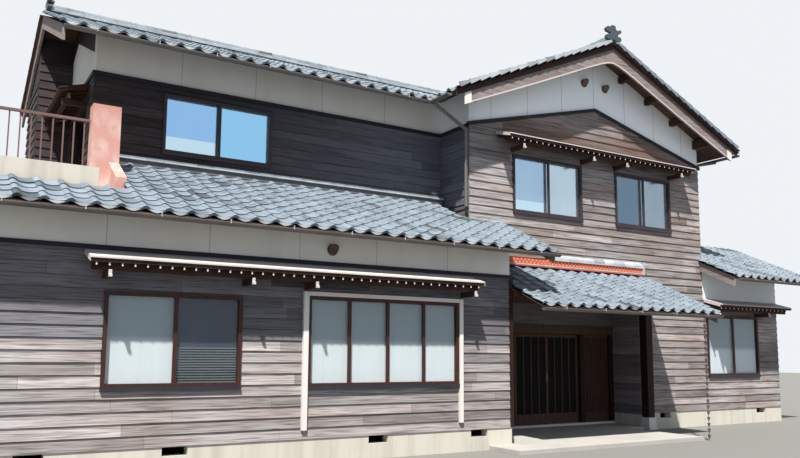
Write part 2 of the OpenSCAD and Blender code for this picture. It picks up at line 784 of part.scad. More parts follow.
// Straight bargeboards of the upper left roof, the lean-to roof, the entrance roof and the wing's roof
module upper_bargeboards() {
    y0 = upper_eave_y + 20;
    run = upper_mid_y - y0;
    z = upper_under(y0) - eps;
    drop = 235;
    x1 = wing_right_x + wing_verge_out - 70;
    lean_y = lean_eave_y + 20;
    porch_y = porch_eave_y + 20;
    wing_y = wing_eave_y + 20;
    wall_y = -corner_post_out - eps;
    inset = 90;
    low_w = 160;
    wing_w = 200;
    low_t = 35;
    color(weathered) placed() {
        plate_y(upper_left_x + 50, [[y0, z], [upper_mid_y, z + main_slope * run], [upper_mid_y + run, z],
            [upper_mid_y + run, z - drop], [upper_mid_y, z + main_slope * run - drop], [y0, z - drop]],
                barge_t);
        verge_board(lean_right_x - inset, lean_y, wall_y, lean_under(lean_y) - eps, lean_slope, low_w,
            low_t);
        verge_board(porch_right_x - inset, porch_y, wall_y, porch_under(porch_y) - eps, lean_slope, low_w,
            low_t);
        verge_board(wing_left_x + 30, wing_y, wall_y, wing_under(wing_y) - eps, lean_slope, wing_w,
            low_t);
        for (s = [0, 1])
            translate([0, 2 * s * wing_mid_y, 0])
                mirror([0, s, 0])
                    verge_board(x1, wing_y, wing_mid_y - eps, wing_under(wing_y) - eps, lean_slope,
                        wing_w, low_t);
    }
}

// Rafters under the eaves that face the street
module eave_rafters() {
    color(weathered) placed() {
        rafters_x(-upper_l - 440, -gable_eave_out - 60, 455, upper_eave_y + 40, upper_y - eps,
            upper_under(upper_eave_y + 40), main_angle);
        rafters_x(lower_x + 60, lean_right_x - 200, 303, lean_eave_y + 40, lower_y - eps,
            lean_under(lean_eave_y + 40), lean_angle);
        rafters_x(porch_left_x + 90, porch_right_x - 150, 303, porch_eave_y + 40, porch_beam_y - 46,
            porch_under(porch_eave_y + 40), lean_angle);
        rafters_x(gable_w + 120, wing_right_x + 60, 455, wing_eave_y + 40, -eps,
            wing_under(wing_eave_y + 40), lean_angle);
    }
}

// Two slopes of the gabled wing's roof, notched where the left roof runs in
module gable_roof() {
    y0 = -gable_verge_out;
    y1 = gable_d + gable_verge_out;
    x0 = -gable_eave_out;
    ya = upper_eave_y - eps;
    depth = upper_mid_y - ya;
    yb = 2 * upper_mid_y - ya;
    color(tile) placed() {
        slope_right(x0, gable_eave_z, main_angle, [[x0, y0], [gable_mid, y0], [gable_mid, y1], [x0, y1],
            [x0, yb], [x0 + depth, upper_mid_y], [x0, ya]], roof_t, tile_pitch);
        mirror([1, 0, 0])
            translate([-2 * gable_mid, 0, 0])
                slope_right(x0, gable_eave_z, main_angle,
                    [[x0, y0], [gable_mid - eps, y0], [gable_mid - eps, y1],
                    [x0, y1]], roof_t, tile_pitch);
    }
}

// Two slopes of the upper left roof, cut where they meet the gabled wing's roof
module upper_roof() {
    x0 = upper_left_x;
    y0 = upper_eave_y;
    ym = upper_mid_y;
    xa = -gable_eave_out;
    xb = xa + ym - y0;
    color(tile) placed() {
        slope_back(y0, upper_eave_z, main_angle, [[x0, y0], [xa, y0], [xb, ym], [x0, ym]], roof_t,
            tile_pitch);
        mirror([0, 1, 0])
            translate([0, -2 * ym, 0])
                slope_back(y0, upper_eave_z, main_angle, [[x0, y0], [xa, y0], [xb - eps, ym - eps],
                    [x0, ym - eps]], roof_t, tile_pitch);
    }
}

// Lean-to roof over the ground storey's front, with the flat tiles against the upper wall
module lean_to_roof() {
    y0 = lean_eave_y;
    yt = upper_y - 46;
    yf = yt - 110;
    x1 = -band_out - eps;
    z = lean_eave_z + lean_slope * (yt - y0);
    color(tile) placed() {
        slope_back(y0, lean_eave_z, lean_angle,
            [[lower_x - 20, y0], [lean_right_x, y0], [lean_right_x, -2 * eps],
            [x1, -2 * eps], [x1, yt], [parapet_x1 + eps, yt], [parapet_x1 + eps, terrace_front_y],
            [lower_x - 20, terrace_front_y]], roof_t, tile_pitch);
        plate_y(parapet_x1 + eps, [[yf, z - lean_slope * (yt - yf) + eps], [yt, z + eps], [yt, z + 45],
            [yf, z + 45]],
            x1 - parapet_x1 - eps);
    }
}

// Entrance roof
module porch_roof() {
    y0 = porch_eave_y;
    color(tile) placed()
        slope_back(y0, porch_eave_z, lean_angle,
            [[porch_left_x, y0], [porch_right_x, y0], [porch_right_x, -eps],
            [porch_left_x, -eps]], roof_t, tile_pitch);
}

// Ridge of the entrance roof against the wall: a lattice strip between rows of flat tiles, and a round
// cap
module porch_ridge() {
    x0 = porch_left_x + 640;
    cap_x0 = 1820;
    x1 = porch_right_x - 101;
    z = porch_ridge_z;
    color(tile) placed()
        difference() {
            union() {
                block([x0, -190, z - 60], [x1, -eps, z]);
                block([x0, -160, z], [x1, -eps, z + 100]);
                block([cap_x0 - 20, -180, z + 100], [x1, -eps, z + 125]);
                translate([cap_x0, -90, z + 140])
                    rotate([0, 90, 0])
                        cylinder(h = x1 - cap_x0, r = 85, $fn = 48);
            }
            translate([0, -90, 0])
                ridge_slope_cut(x0 - 10, x1 + 10);
        }
}

// Two slopes of the wing's roof, and the ridge between them
module wing_roof() {
    y0 = wing_eave_y;
    x1 = wing_right_x + wing_verge_out;
    color(tile) placed() {
        slope_back(y0, wing_eave_z, lean_angle, [[wing_left_x, y0], [x1, y0], [x1, wing_mid_y],
            [gable_w + eps, wing_mid_y], [gable_w + eps, -2 * eps], [wing_left_x, -2 * eps]], roof_t,
                tile_pitch);
        mirror([0, 1, 0])
            translate([0, -2 * wing_mid_y, 0])
                slope_back(y0, wing_eave_z, lean_angle,
                    [[gable_w + eps, y0], [x1, y0], [x1, wing_mid_y - eps],
                    [gable_w + eps, wing_mid_y - eps]], roof_t, tile_pitch);
    }
}

// Gutters under the eaves and their downpipes
module gutters() {
    dip = 130;
    out = 58;
    color(metal) placed() {
        gutter(upper_left_x + 60, -gable_eave_out - 110, upper_eave_y - out + 20, upper_eave_z - dip);
        gutter(lower_x, lean_right_x - 10, lean_eave_y - out + 20, lean_eave_z - dip);
        gutter(porch_left_x, porch_right_x - 10, porch_eave_y - out + 20, porch_eave_z - dip);
        gutter(gable_w + 10, wing_right_x + wing_verge_out - 10, wing_eave_y - out + 20,
            wing_eave_z - dip);
        translate([-gable_eave_out - out + 20, 0, 0])
            rotate([0, 0, -90])
                gutter(-upper_eave_y + 60, gable_verge_out - 150, 0, gable_eave_z - dip);
        translate([gable_w + gable_eave_out + out - 20, 0, 0])
            rotate([0, 0, -90])
                gutter(-gable_d - gable_verge_out + 60, gable_verge_out - 60, 0, gable_eave_z - dip);
        bent_pipe([[-gable_eave_out - 38, 20, 6050], [-110, -60, 5650], [-110, -60, 4200]]);
        bent_pipe([[gable_w + gable_eave_out + 38, 60, 6050], [gable_w + 90, 120, 5900],
            [gable_w + 90, 120, 3980]]);
    }
}

// Rain chain of cups at the right end of the entrance roof's gutter
module rain_chain() {
    x = 4030;
    y = porch_eave_y - 38;
    top = porch_eave_z - 130 - 56;
    cup_pitch = 106;
    color(metal) placed()
        translate([x, y, 0]) {
            cylinder(h = top, r = 6, $fn = 24);
            for (z = [40 : cup_pitch : top - 90])
                translate([0, 0, z])
                    cylinder(h = 62, r1 = 14, r2 = 30, $fn = 32);
        }
}

// Round vents in the plaster, each with a hood that opens downwards
module round_vents() {
    r = 85;
    collar = 14;
    hood = 90;
    color(metal) placed() {
        for (q = [[2990, -eps, 7150], [3590, -eps, 7130], [-3340, lower_y - eps, 3040]])
            translate(q)
                rotate([90, 0, 0])
                    union() {
                        cylinder(h = collar, r = r, $fn = 48);
                        difference() {
                            cylinder(h = hood, r = r - 6, $fn = 48);
                            translate([0, 0, hood / 2])
                                rotate([40, 0, 0])
                                    translate([-2 * r, -3 * r, 0])
                                        cube([4 * r, 6 * r, 3 * r]);
                        }
                    }
    }
}

// Roof terrace over the ground storey's left end, with the curb at its front edge
module terrace_deck() {
    y0 = terrace_front_y;
    color(concrete) placed() {
        union() {
            block([lower_x - 20, y0 + eps, terrace_foot_z + eps],
                [parapet_x1 - eps, upper_y - 60, terrace_z]);
            block([lower_x - 20, y0 + eps, terrace_foot_z + eps],
                [-upper_l - eps, upper_rear_y + 20, terrace_z]);
        }
        block([lower_x - 20, y0 + eps, terrace_z + eps], [pillar_x0 - eps, y0 + 120, curb_z]);
    }
}

// Mortar pillar at the terrace's front corner, and the low wall along the lean-to roof
module terrace_pillar() {
    y0 = terrace_front_y;
    z0 = terrace_z + eps;
    cap = 90;
    rear_y = pillar_y0 + pillar_deep + eps;
    top0 = lean_eave_z + lean_slope * (y0 - lean_eave_y) + cap;
    top1 = lean_eave_z + lean_slope * (pillar_y0 - lean_eave_y) + cap;
    color(mortar) placed() {
        block([pillar_x0, pillar_y0, z0], [parapet_x1, pillar_y0 + pillar_deep, pillar_top_z]);
        plate_y(parapet_x0, [[y0 + 122, z0], [pillar_y0 - eps, z0], [pillar_y0 - eps, top1],
            [y0 + 122, top0]], parapet_x1 - parapet_x0);
        plate_y(parapet_x0, [[rear_y, z0], [upper_y - 56, z0], [upper_y - 56, top1 + 290],
            [rear_y, top1 + 200]], parapet_x1 - parapet_x0);
    }
}

// Steel rail round the terrace
module terrace_rail() {
    z0 = terrace_z + eps;
    z1 = rail_top_z;
    y = pillar_y0 + 200;
    x = lower_x + 40;
    pitch = 138;
    color(metal) placed() {
        block([x, y - 25, z1 - 35], [pillar_x0 - eps, y + 25, z1]);
        for (k = [x : pitch : pillar_x0 - 60])
            block([k, y - 9, z0], [k + 18, y + 9, z1 - 34]);
        block([x - 25, y + 26, z1 - 35], [x + 25, upper_rear_y - 60, z1]);
        for (k = [y + pitch : pitch : upper_rear_y - 100])
            block([x - 9, k, z0], [x + 9, k + 18, z1 - 34]);
    }
}

// Fixed slatted panels beside the doors: a frame with slats in front of a thin back
module side_panel(x0, x1) {
    y = upper_y + 40;
    z0 = slab_h + sill_h + eps;
    rail = 60;
    slat = 18;
    block([x0, y, z0], [x1, y + 40, z0 + 200]);
    block([x0, y, head_z - rail], [x1, y + 40, head_z]);
    block([x0, y + 22, z0], [x1, y + 38, head_z]);
    n = floor((x1 - x0) / 46);
    for (i = [0 : n])
        block([x0 + i * (x1 - x0 - slat) / n, y + 4, z0],
            [x0 + i * (x1 - x0 - slat) / n + slat, y + 30, head_z]);
}

// Bargeboards of the upper left roof, the lean-to roof, the wing and the entrance roof
module verge_board(x, y0, y1, z0, slope, deep, t) {
    plate_y(x, [[y0, z0], [y1, z0 + slope * (y1 - y0)], [y1, z0 + slope * (y1 - y0) - deep],
        [y0, z0 - deep]], t);
}

// Rafters under an eave that faces the street
module rafters_x(x0, x1, pitch, y0, y1, z_under, angle) {
    w = 45;
    deep = 55;
    for (x = [x0 : pitch : x1 - w])
        slope_back(y0, z_under - eps, angle, [[x, y0], [x + w, y0], [x + w, y1], [x, y1]], deep);
}

// A ridge of flat tiles in steps with a round cap, along X from x0 to x1 at y
module ridge_stack(x0, x1, y, z, w, rows) {
    row_h = 24;
    for (i = [0 : rows - 1]) {
        half = w / 2 - 12 * i;
        block([x0, y - half, z + i * row_h], [x1, y + half, z + (i + 1) * row_h]);
    }
    translate([x0, y, z + rows * row_h])
        rotate([0, 90, 0])
            cylinder(h = x1 - x0, r = w / 2 - 12 * rows, $fn = 48);
}

// Outlines of the end tiles as [share of the width, share of the height]: a crown of three lobes, and a plain one
crown = [[-0.42, 0], [0.42, 0], [0.36, 0.30], [0.24, 0.46], [0.44, 0.50], [0.60, 0.66], [0.52, 0.80],
    [0.28, 0.68], [0.17, 0.74], [0.13, 0.97], [-0.12, 0.97], [-0.16, 0.78], [-0.44, 0.84], [-0.60, 0.66],
    [-0.52, 0.50], [-0.24, 0.46], [-0.36, 0.30]];
shoulders = [[-0.50, 0], [0.50, 0], [0.42, 0.35], [0.30, 0.62], [0.16, 0.80], [-0.16, 0.80], [-0.30, 0.62],
    [-0.42, 0.35]];

// End tile of a ridge that faces -Y: its outline, scrolled sides and a raised round horn
module end_tile(w, h, horn = true) {
    t = 60;
    rotate([90, 0, 0])
        linear_extrude(t) {
            polygon([for (q = horn ? crown : shoulders) [q[0] * w, q[1] * h]]);
            for (s = [-1, 1])
                translate([s * w * 0.44, h * 0.16])
                    circle(r = w * 0.13, $fn = 32);
        }
    if (horn)
        translate([0, 60, h * 0.74])
            rotate([75, 0, 0])
            cylinder(h = 118, r = w * 0.13, $fn = 32);
}

// What the two roof slopes take away from the foot of a ridge that runs along X
module ridge_cut(x0, x1, z) {
    w = 400;
    translate([x0, 0, 0])
        rotate([90, 0, 90])
            linear_extrude(x1 - x0)
                polygon([[-w, z - w * main_slope], [0, z + eps], [w, z - w * main_slope], [w, z - w],
                    [-w, z - w]]);
}

// Ornamental end tiles of the ridges
module ridge_ornaments() {
    z = gable_top_z - 20;
    color(tile) placed() {
        for (s = [0, 1])
            translate([gable_mid, s * gable_d, 0])
                mirror([0, s, 0])
                    translate([0, -gable_verge_out + 68, 0])
                        difference() {
                            translate([0, 0, z])
                                end_tile(380, 330);
                            rotate([0, 0, 90])
                                ridge_cut(-300, 300, gable_top_z);
                        }
        translate([upper_left_x + 148, upper_mid_y, 0])
            rotate([0, 0, -90])
                difference() {
                    translate([0, 0, upper_top_z - 20])
                        end_tile(300, 230);
                    rotate([0, 0, 90])
                        ridge_cut(-300, 300, upper_top_z);
                }
        difference() {
            translate([porch_right_x - 100, -90, porch_ridge_z - 60])
                rotate([0, 0, 90])
                    end_tile(150, 330, false);
            translate([0, -90, 0])
                ridge_slope_cut(porch_right_x - 100, porch_right_x + 100);
        }
    }
}

// What the entrance roof takes away from the foot of its ridge
module ridge_slope_cut(x0, x1) {
    z = porch_eave_z + lean_slope * (-90 - porch_eave_y);
    w = 300;
    translate([x0, 0, 0])
        rotate([90, 0, 90])
            linear_extrude(x1 - x0)
                polygon([[-w, z + eps - w * lean_slope], [w, z + eps + w * lean_slope], [w, z - w],
                    [-w, z - w]]);
}

// A half-round gutter along X with closed ends
module gutter(x0, x1, y, z) {
    r = 52;
    t = 4;
    translate([x0, y, z])
        rotate([0, 90, 0])
            difference() {
                cylinder(h = x1 - x0, r = r, $fn = 48);
                translate([0, 0, t])
                    cylinder(h = x1 - x0 - 2 * t, r = r - t, $fn = 48);
                translate([-r - 1, -r - 1, -1])
                    cube([r + 1, 2 * r + 2, x1 - x0 + 2]);
            }
}

// A straight round pipe between two points
module pipe(a, b, r = 32) {
    d = b - a;
    run = norm([d[0], d[1]]);
    translate(a)
        rotate([0, atan2(run, d[2]), atan2(d[1], d[0])])
            cylinder(h = norm(d), r = r, $fn = 32);
}

// A bent round pipe through several points
module bent_pipe(points, r = 32) {
    for (i = [0 : len(points) - 2])
        pipe(points[i], points[i + 1], r);
    for (i = [1 : len(points) - 2])
        translate(points[i])
            sphere(r = r + 6, $fn = 32);
}

// White plaster: above the boards of the ground storey, under the upper eaves, and in the gables
module plaster_walls() {
    low_z = lower_plaster_z + eps;
    z0 = upper_plaster_z + eps;
    y0 = upper_y + wall_t + eps;
    y1 = upper_rear_y - wall_t - eps;
    color(plaster) placed() {
        plate_x(lower_y, box4(lower_x, 0, low_z, lean_under(lower_y) - eps));
        plate_x(0, box4(gable_w + eps, wing_right_x, low_z, wing_under(0) - eps));
        plate_x(upper_y, box4(-upper_l, -eps, z0, upper_under(upper_y) - eps));
        plate_y(-upper_l, [[y0, z0], [y1, z0], [y1, upper_strip_z(y1)],
            [upper_mid_y, upper_strip_z(upper_mid_y)],
            [y0, upper_strip_z(y0)]]);
        plate_x(upper_rear_y - wall_t, box4(-upper_l, -eps, z0, upper_under(upper_rear_y) - eps));
        plate_x(0, [[0, band_end_z + eps], [gable_mid, band_top_z + eps], [gable_w, band_end_z + eps],
            [gable_w, gable_under(gable_w) - eps], [gable_mid, gable_under(gable_mid) - eps],
            [0, gable_under(0) - eps]]);
        block([0, wall_t + eps, z0], [wall_t, upper_y + wall_t, gable_under(0) - eps]);
    }
}

// Ridges of the two main roofs: flat tiles in steps under a round cap
module ridges() {
    y0 = -gable_verge_out + 10;
    y1 = gable_d + gable_verge_out - 10;
    x1 = upper_mid_y - upper_eave_y - gable_eave_out - 130;
    color(tile) placed() {
        translate([gable_mid, 0, 0])
            rotate([0, 0, 90])
                difference() {
                    ridge_stack(y0 + 60, y1 - 60, 0, gable_top_z - 50, 250, 4);
                    ridge_cut(y0, y1, gable_top_z);
                }
        translate([0, upper_mid_y, 0])
            difference() {
                ridge_stack(upper_left_x + 150, x1, 0, upper_top_z - 40, 220, 3);
                ridge_cut(upper_left_x, x1 + 10, upper_top_z);
            }
    }
}

footings();
porch_slab();
entrance_floor();
ground_floor();
upper_floor();
lower_front_wall();
lower_end_walls();
upper_front_wall();
upper_end_wall();
gable_front_wall();
gable_side_walls();
rear_walls();
plaster_walls();
gable_band();
recess_walls();
wing_walls();
entrance_wall();
entrance_posts();
entrance_head();
entrance_sill();
entrance_side_panels();
sliding_door_left();
sliding_door_right();
window_frames();
window_glass();
window_casing();
canopies();
gable_bargeboards();
gable_purlins();
upper_bargeboards();
eave_rafters();
gable_roof();
upper_roof();
lean_to_roof();
porch_roof();
wing_roof();
ridges();
porch_ridge();
ridge_ornaments();
gutters();
rain_chain();
round_vents();
terrace_deck();
terrace_pillar();
terrace_rail();
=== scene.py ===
import logging
import math
import random
from dataclasses import dataclass, field
from enum import Enum
from typing import Iterable, Sequence

import bmesh
import bpy
from mathutils import Matrix, Vector


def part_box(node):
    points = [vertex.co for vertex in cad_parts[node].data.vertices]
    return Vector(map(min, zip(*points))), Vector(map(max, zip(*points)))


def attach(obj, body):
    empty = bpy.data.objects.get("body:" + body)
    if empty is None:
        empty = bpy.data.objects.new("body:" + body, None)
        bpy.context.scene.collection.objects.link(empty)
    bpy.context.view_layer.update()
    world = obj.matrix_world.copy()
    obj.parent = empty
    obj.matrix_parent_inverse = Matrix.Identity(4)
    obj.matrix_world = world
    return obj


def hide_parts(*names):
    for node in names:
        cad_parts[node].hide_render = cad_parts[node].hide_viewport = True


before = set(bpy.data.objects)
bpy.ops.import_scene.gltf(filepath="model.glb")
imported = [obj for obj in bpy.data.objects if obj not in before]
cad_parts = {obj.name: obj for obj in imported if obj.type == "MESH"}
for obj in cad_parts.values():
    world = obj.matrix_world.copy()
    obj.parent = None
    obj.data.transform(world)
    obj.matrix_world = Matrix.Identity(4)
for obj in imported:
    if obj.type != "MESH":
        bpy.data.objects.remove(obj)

# Looks of a two-storey townhouse: lapped boards, white plaster, grey pan tiles and sliding doors.
# All sizes are metres. The house frame has its zero at the gabled wing's front left corner, on the ground.
# The row frame, in which every piece lies, has it under the middle of the house, and HOUSE is the step
# between the two.

LOG = logging.getLogger("house")
BODY = "house"
HOUSE = Vector((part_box("gable_front_wall")[0][0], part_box("gable_front_wall")[0][1], 0.0))
ZERO = Vector((0.0, 0.0, 0.0))
SEED = 7
NEAR = 1e-4
PHOTO_W, PHOTO_H = 800, 458

# Boards: foot of the first course and step, how far they stand out at foot and top, how far their front
# edge is raised at the foot, and half the gap of a butt joint
LAP_START, LAP_PITCH = 0.492, 0.1515
BOARD_OUT_LOW, BOARD_OUT_HIGH, BOARD_LIP, BOARD_GAP = 0.026, 0.009, 0.007, 0.0015

# Roofs: rise over run, thickness, the gabled wing's width and depth with its overhangs, and its two heights
MAIN_SLOPE, LEAN_SLOPE, ROOF_T = 0.43, 0.456, 0.100
GABLE_W, GABLE_D, EAVE, VERGE = 6.52, 6.4, 0.72, 0.62
RIDGE_X = GABLE_W / 2
MAIN_EAVE_Z = 6.24
RIDGE_Z = MAIN_EAVE_Z + MAIN_SLOPE * (RIDGE_X + EAVE)
TURN_LEFT = math.pi / 2
FLAT_TILE, CAP_TILE = 0.27, 0.30
RAFTER_STEP = 0.15

Point2 = tuple[float, float]
Point3 = tuple[float, float, float]
RGB = tuple[float, float, float]
Box2 = tuple[float, float, float, float]


def at(x: float, y: float, z: float) -> Vector:
    """Turns a place in the house frame into the row frame.

    Args:
        x: To the right along the front.
        y: Back from the gabled wing's front.
        z: Above the ground.

    Returns:
        The same place in the row frame.
    """
    return Vector((x, y, z)) + HOUSE


def rect(u0: float, u1: float, z0: float, z1: float) -> list[Point2]:
    """An upright rectangle.

    Args:
        u0: Its left side.
        u1: Its right side.
        z0: Its foot.
        z1: Its top.

    Returns:
        The corners, anticlockwise.
    """
    return [(u0, z0), (u1, z0), (u1, z1), (u0, z1)]


def tints(name: str, count: int) -> list[float]:
    """Tints of repeated tiles, the same on each run.

    Args:
        name: What they belong to.
        count: How many.

    Returns:
        A tint from 0 to 1 for each.
    """
    rng = random.Random(f"{SEED}{name}")
    return [min(1.0, max(0.0, rng.gauss(0.5, 0.2))) for _ in range(count)]


def span(node: str) -> tuple[Vector, Vector]:
    """The box of a CAD node.

    Args:
        node: Name of the node.

    Returns:
        Its lowest and highest corner, in the house frame.
    """
    low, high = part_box(node)
    return Vector(low) - HOUSE, Vector(high) - HOUSE


def find_root(parent: dict[tuple, tuple], key: tuple) -> tuple:
    """Follows a chain of joined points to its end.

    Args:
        parent: The next point of each.
        key: Where to start.

    Returns:
        The last point.
    """
    while parent[key] != key:
        parent[key] = parent[parent[key]]
        key = parent[key]
    return key


def islands(node: str) -> list[tuple[Vector, Vector]]:
    """Finds the boxes of the separate solids of a CAD node.

    Args:
        node: Name of the node.

    Returns:
        Lowest and highest corner of each solid, in the house frame.
    """
    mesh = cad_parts[node].data
    to_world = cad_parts[node].matrix_world
    keys = [tuple(round(c, 4) for c in v.co) for v in mesh.vertices]
    parent = {k: k for k in keys}
    for e in mesh.edges:
        a, b = (find_root(parent, keys[i]) for i in e.vertices)
        parent[a] = b
    groups: dict[tuple, list[Vector]] = {}
    for k in keys:
        groups.setdefault(find_root(parent, k), []).append(to_world @ Vector(k) - HOUSE)
    return [tuple(Vector([pick(p[i] for p in g) for i in range(3)]) for pick in (min, max))
            for g in groups.values()]


def add_node(tree: bpy.types.NodeTree, kind: str, inputs: dict | None = None, **props) -> bpy.types.Node:
    """Adds a node to a tree.

    Args:
        tree: The tree.
        kind: The node's type.
        inputs: Values or sockets for its inputs, by name or number.
        **props: Properties to set on it first.

    Returns:
        The new node.
    """
    made = tree.nodes.new(kind)
    for key, value in props.items():
        setattr(made, key, value)
    for key, value in (inputs or {}).items():
        if isinstance(value, bpy.types.NodeSocket):
            tree.links.new(value, made.inputs[key])
        else:
            made.inputs[key].default_value = value
    return made


def show(name: str, data: bpy.types.ID) -> bpy.types.Object:
    """Makes an object in the scene.

    Args:
        name: Its name.
        data: Its mesh, lamp or camera.

    Returns:
        The object.
    """
    made = bpy.data.objects.new(name, data)
    bpy.context.scene.collection.objects.link(made)
    return made


def opaque(color: RGB | bpy.types.NodeSocket) -> tuple | bpy.types.NodeSocket:
    """A colour as a node's input takes it.

    Args:
        color: Colour or socket.

    Returns:
        The socket as it is, or the colour with an alpha of 1.
    """
    return color if isinstance(color, bpy.types.NodeSocket) else (*color, 1.0)


class Shader:
    """A short way to wire a material's node tree."""

    def __init__(self, name: str) -> None:
        """Starts an empty material.

        Args:
            name: The material's name.
        """
        self.material = bpy.data.materials.new(name)
        self.material.use_nodes = True
        self.tree = self.material.node_tree
        self.tree.nodes.clear()
        self.coords = self.node("TexCoord").outputs["Object"]

    def node(self, kind: str, inputs: dict | None = None, **props) -> bpy.types.Node:
        """Adds a shader node.

        Args:
            kind: Its type, without the leading ShaderNode.
            inputs: Values or sockets for its inputs, by name or number.
            **props: Properties to set on it.

        Returns:
            The new node.
        """
        return add_node(self.tree, "ShaderNode" + kind, inputs, **props)

    def noise(self, scale: Point3, detail: float, size: float = 1.0) -> bpy.types.NodeSocket:
        """Noise in stretched object coordinates.

        Args:
            scale: Scale along each axis.
            detail: Its detail.
            size: Its own scale.

        Returns:
            The noise's factor.
        """
        place = self.node("Mapping", {"Vector": self.coords, "Scale": scale}).outputs["Vector"]
        return self.node("TexNoise", {"Vector": place, "Scale": size, "Detail": detail}).outputs[0]

    def ramp(self, factor: bpy.types.NodeSocket, stops: Sequence[tuple[float, RGB]]) -> bpy.types.NodeSocket:
        """Colours along a factor.

        Args:
            factor: What drives it.
            stops: Places and colours.

        Returns:
            The colour socket.
        """
        made = self.node("ValToRGB", {"Fac": factor})
        band = made.color_ramp
        while len(band.elements) < len(stops):
            band.elements.new(0.5)
        for element, (place, color) in zip(band.elements, stops):
            element.position = place
            element.color = (*color, 1.0)
        return made.outputs["Color"]

    def veil(self, factor: bpy.types.NodeSocket, low: Point2, high: Point2) -> bpy.types.NodeSocket:
        """Greys along a factor.

        Args:
            factor: What drives it.
            low: Place and grey where it starts.
            high: Place and grey where it ends.

        Returns:
            The colour socket.
        """
        return self.ramp(factor, [(place, (grey,) * 3) for place, grey in (low, high)])

    def remap(self, value: bpy.types.NodeSocket, start: float, end: float, low: float,
              high: float) -> bpy.types.NodeSocket:
        """Stretches a value from one range to another.

        Args:
            value: The value.
            start: Where its range starts.
            end: Where its range ends.
            low: What the start becomes.
            high: What the end becomes.

        Returns:
            The new value.
        """
        return self.node("MapRange", {0: value, 1: start, 2: end, 3: low, 4: high}).outputs[0]

    def tint(self) -> bpy.types.NodeSocket:
        """The tint of each board or tile.

        Returns:
            The factor.
        """
        return self.node("Attribute", attribute_name="tint").outputs["Fac"]

    def mix(self, factor, a, b, how: str = "MIX") -> bpy.types.NodeSocket:
        """Mixes two colours.

        Args:
            factor: A number or socket.
            a: First colour or socket.
            b: Second colour or socket.
            how: Blend type.

        Returns:
            The mixed colour.
        """
        inputs = {0: factor, 6: opaque(a), 7: opaque(b)}
        return self.node("Mix", inputs, data_type="RGBA", blend_type=how).outputs[2]

    def close(self, surface: bpy.types.NodeSocket) -> bpy.types.Material:
        """Ends the tree.

        Args:
            surface: The shader that covers the surface.

        Returns:
            The finished material.
        """
        self.node("OutputMaterial", {"Surface": surface})
        return self.material

    def finish(self, color, roughness: float, metallic: float = 0.0, bump=None, bump_height: float = 0.002,
               specular: float = 0.4) -> bpy.types.Material:
        """Closes the material with a Principled shader.

        Args:
            color: Colour or socket.
            roughness: How rough it is.
            metallic: How metallic it is.
            bump: Height socket, if any.
            bump_height: Height of the bump in metres.
            specular: Specular level.

        Returns:
            The finished material.
        """
        inputs = {"Metallic": metallic, "Specular IOR Level": specular, "Roughness": roughness,
                  "Base Color": opaque(color)}
        if bump is not None:
            made = self.node("Bump", {"Height": bump, "Distance": bump_height, "Strength": 0.6})
            inputs["Normal"] = made.outputs["Normal"]
        return self.close(self.node("BsdfPrincipled", inputs).outputs[0])


@dataclass(frozen=True)
class Fade:
    """A second colour that comes in along an axis of the row frame."""

    axis: int
    start: float
    end: float
    color: RGB
    amount: float = 1.0

    def over(self, s: Shader, color: bpy.types.NodeSocket) -> bpy.types.NodeSocket:
        """Lays the second colour over the first.

        Args:
            s: The material.
            color: The first colour.

        Returns:
            The mixed colour.
        """
        place = s.node("SeparateXYZ", {0: s.coords}).outputs[self.axis]
        return s.mix(s.remap(place, self.start, self.end, 0.0, self.amount), color, self.color)


@dataclass(frozen=True)
class WoodFinish:
    """Weathered timber: grain along the horizontal, boards that differ, patches of a second colour."""

    name: str
    light: RGB
    dark: RGB
    patch: RGB
    patch_amount: float = 0.4
    grain: Point3 = (1.2, 1.2, 60.0)
    roughness: float = 0.75
    streaks: float = 0.0
    fade: Fade | None = None

    def material(self) -> bpy.types.Material:
        """Builds the material.

        Returns:
            The material.
        """
        s = Shader(self.name)
        grain = s.noise(self.grain, 6.0)
        base = s.ramp(grain, [(0.30, self.dark), (0.62, self.light)])
        patches = s.veil(s.noise((0.5, 0.5, 1.6), 3.0, 1.3), (0.42, 0.0), (0.62, self.patch_amount))
        color = s.mix(patches, base, self.patch)
        if self.fade:
            color = self.fade.over(s, color)
        shade = s.remap(s.tint(), 0.0, 1.0, 0.62, 1.30)
        greys = s.node("CombineColor", {0: shade, 1: shade, 2: shade}).outputs[0]
        color = s.mix(1.0, color, greys, "MULTIPLY")
        if self.streaks:
            lines = s.veil(s.noise((2.2, 2.2, 75.0), 8.0), (0.36, 1.0 - self.streaks), (0.50, 1.0))
            color = s.mix(1.0, color, lines, "MULTIPLY")
        return s.finish(color, self.roughness, bump=grain, bump_height=0.003, specular=0.2)


@dataclass(frozen=True)
class PlainFinish:
    """A painted, plastered or cast surface with faint stains."""

    name: str
    color: RGB
    stain: RGB
    stain_amount: float = 0.25
    roughness: float = 0.8
    metallic: float = 0.0
    stain_scale: Point3 = (1.5, 1.5, 0.5)
    grain: float = 60.0
    bump: float = 0.001
    specular: float = 0.3
    fade: Fade | None = None

    def material(self) -> bpy.types.Material:
        """Builds the material.

        Returns:
            The material.
        """
        s = Shader(self.name)
        stains = s.veil(s.noise(self.stain_scale, 5.0, 1.6), (0.45, 0.0), (0.75, self.stain_amount))
        color = s.mix(stains, self.color, self.stain)
        if self.fade:
            color = self.fade.over(s, color)
        fine = s.noise((1.0, 1.0, 1.0), 3.0, self.grain)
        return s.finish(color, self.roughness, self.metallic, bump=fine, bump_height=self.bump,
                        specular=self.specular)


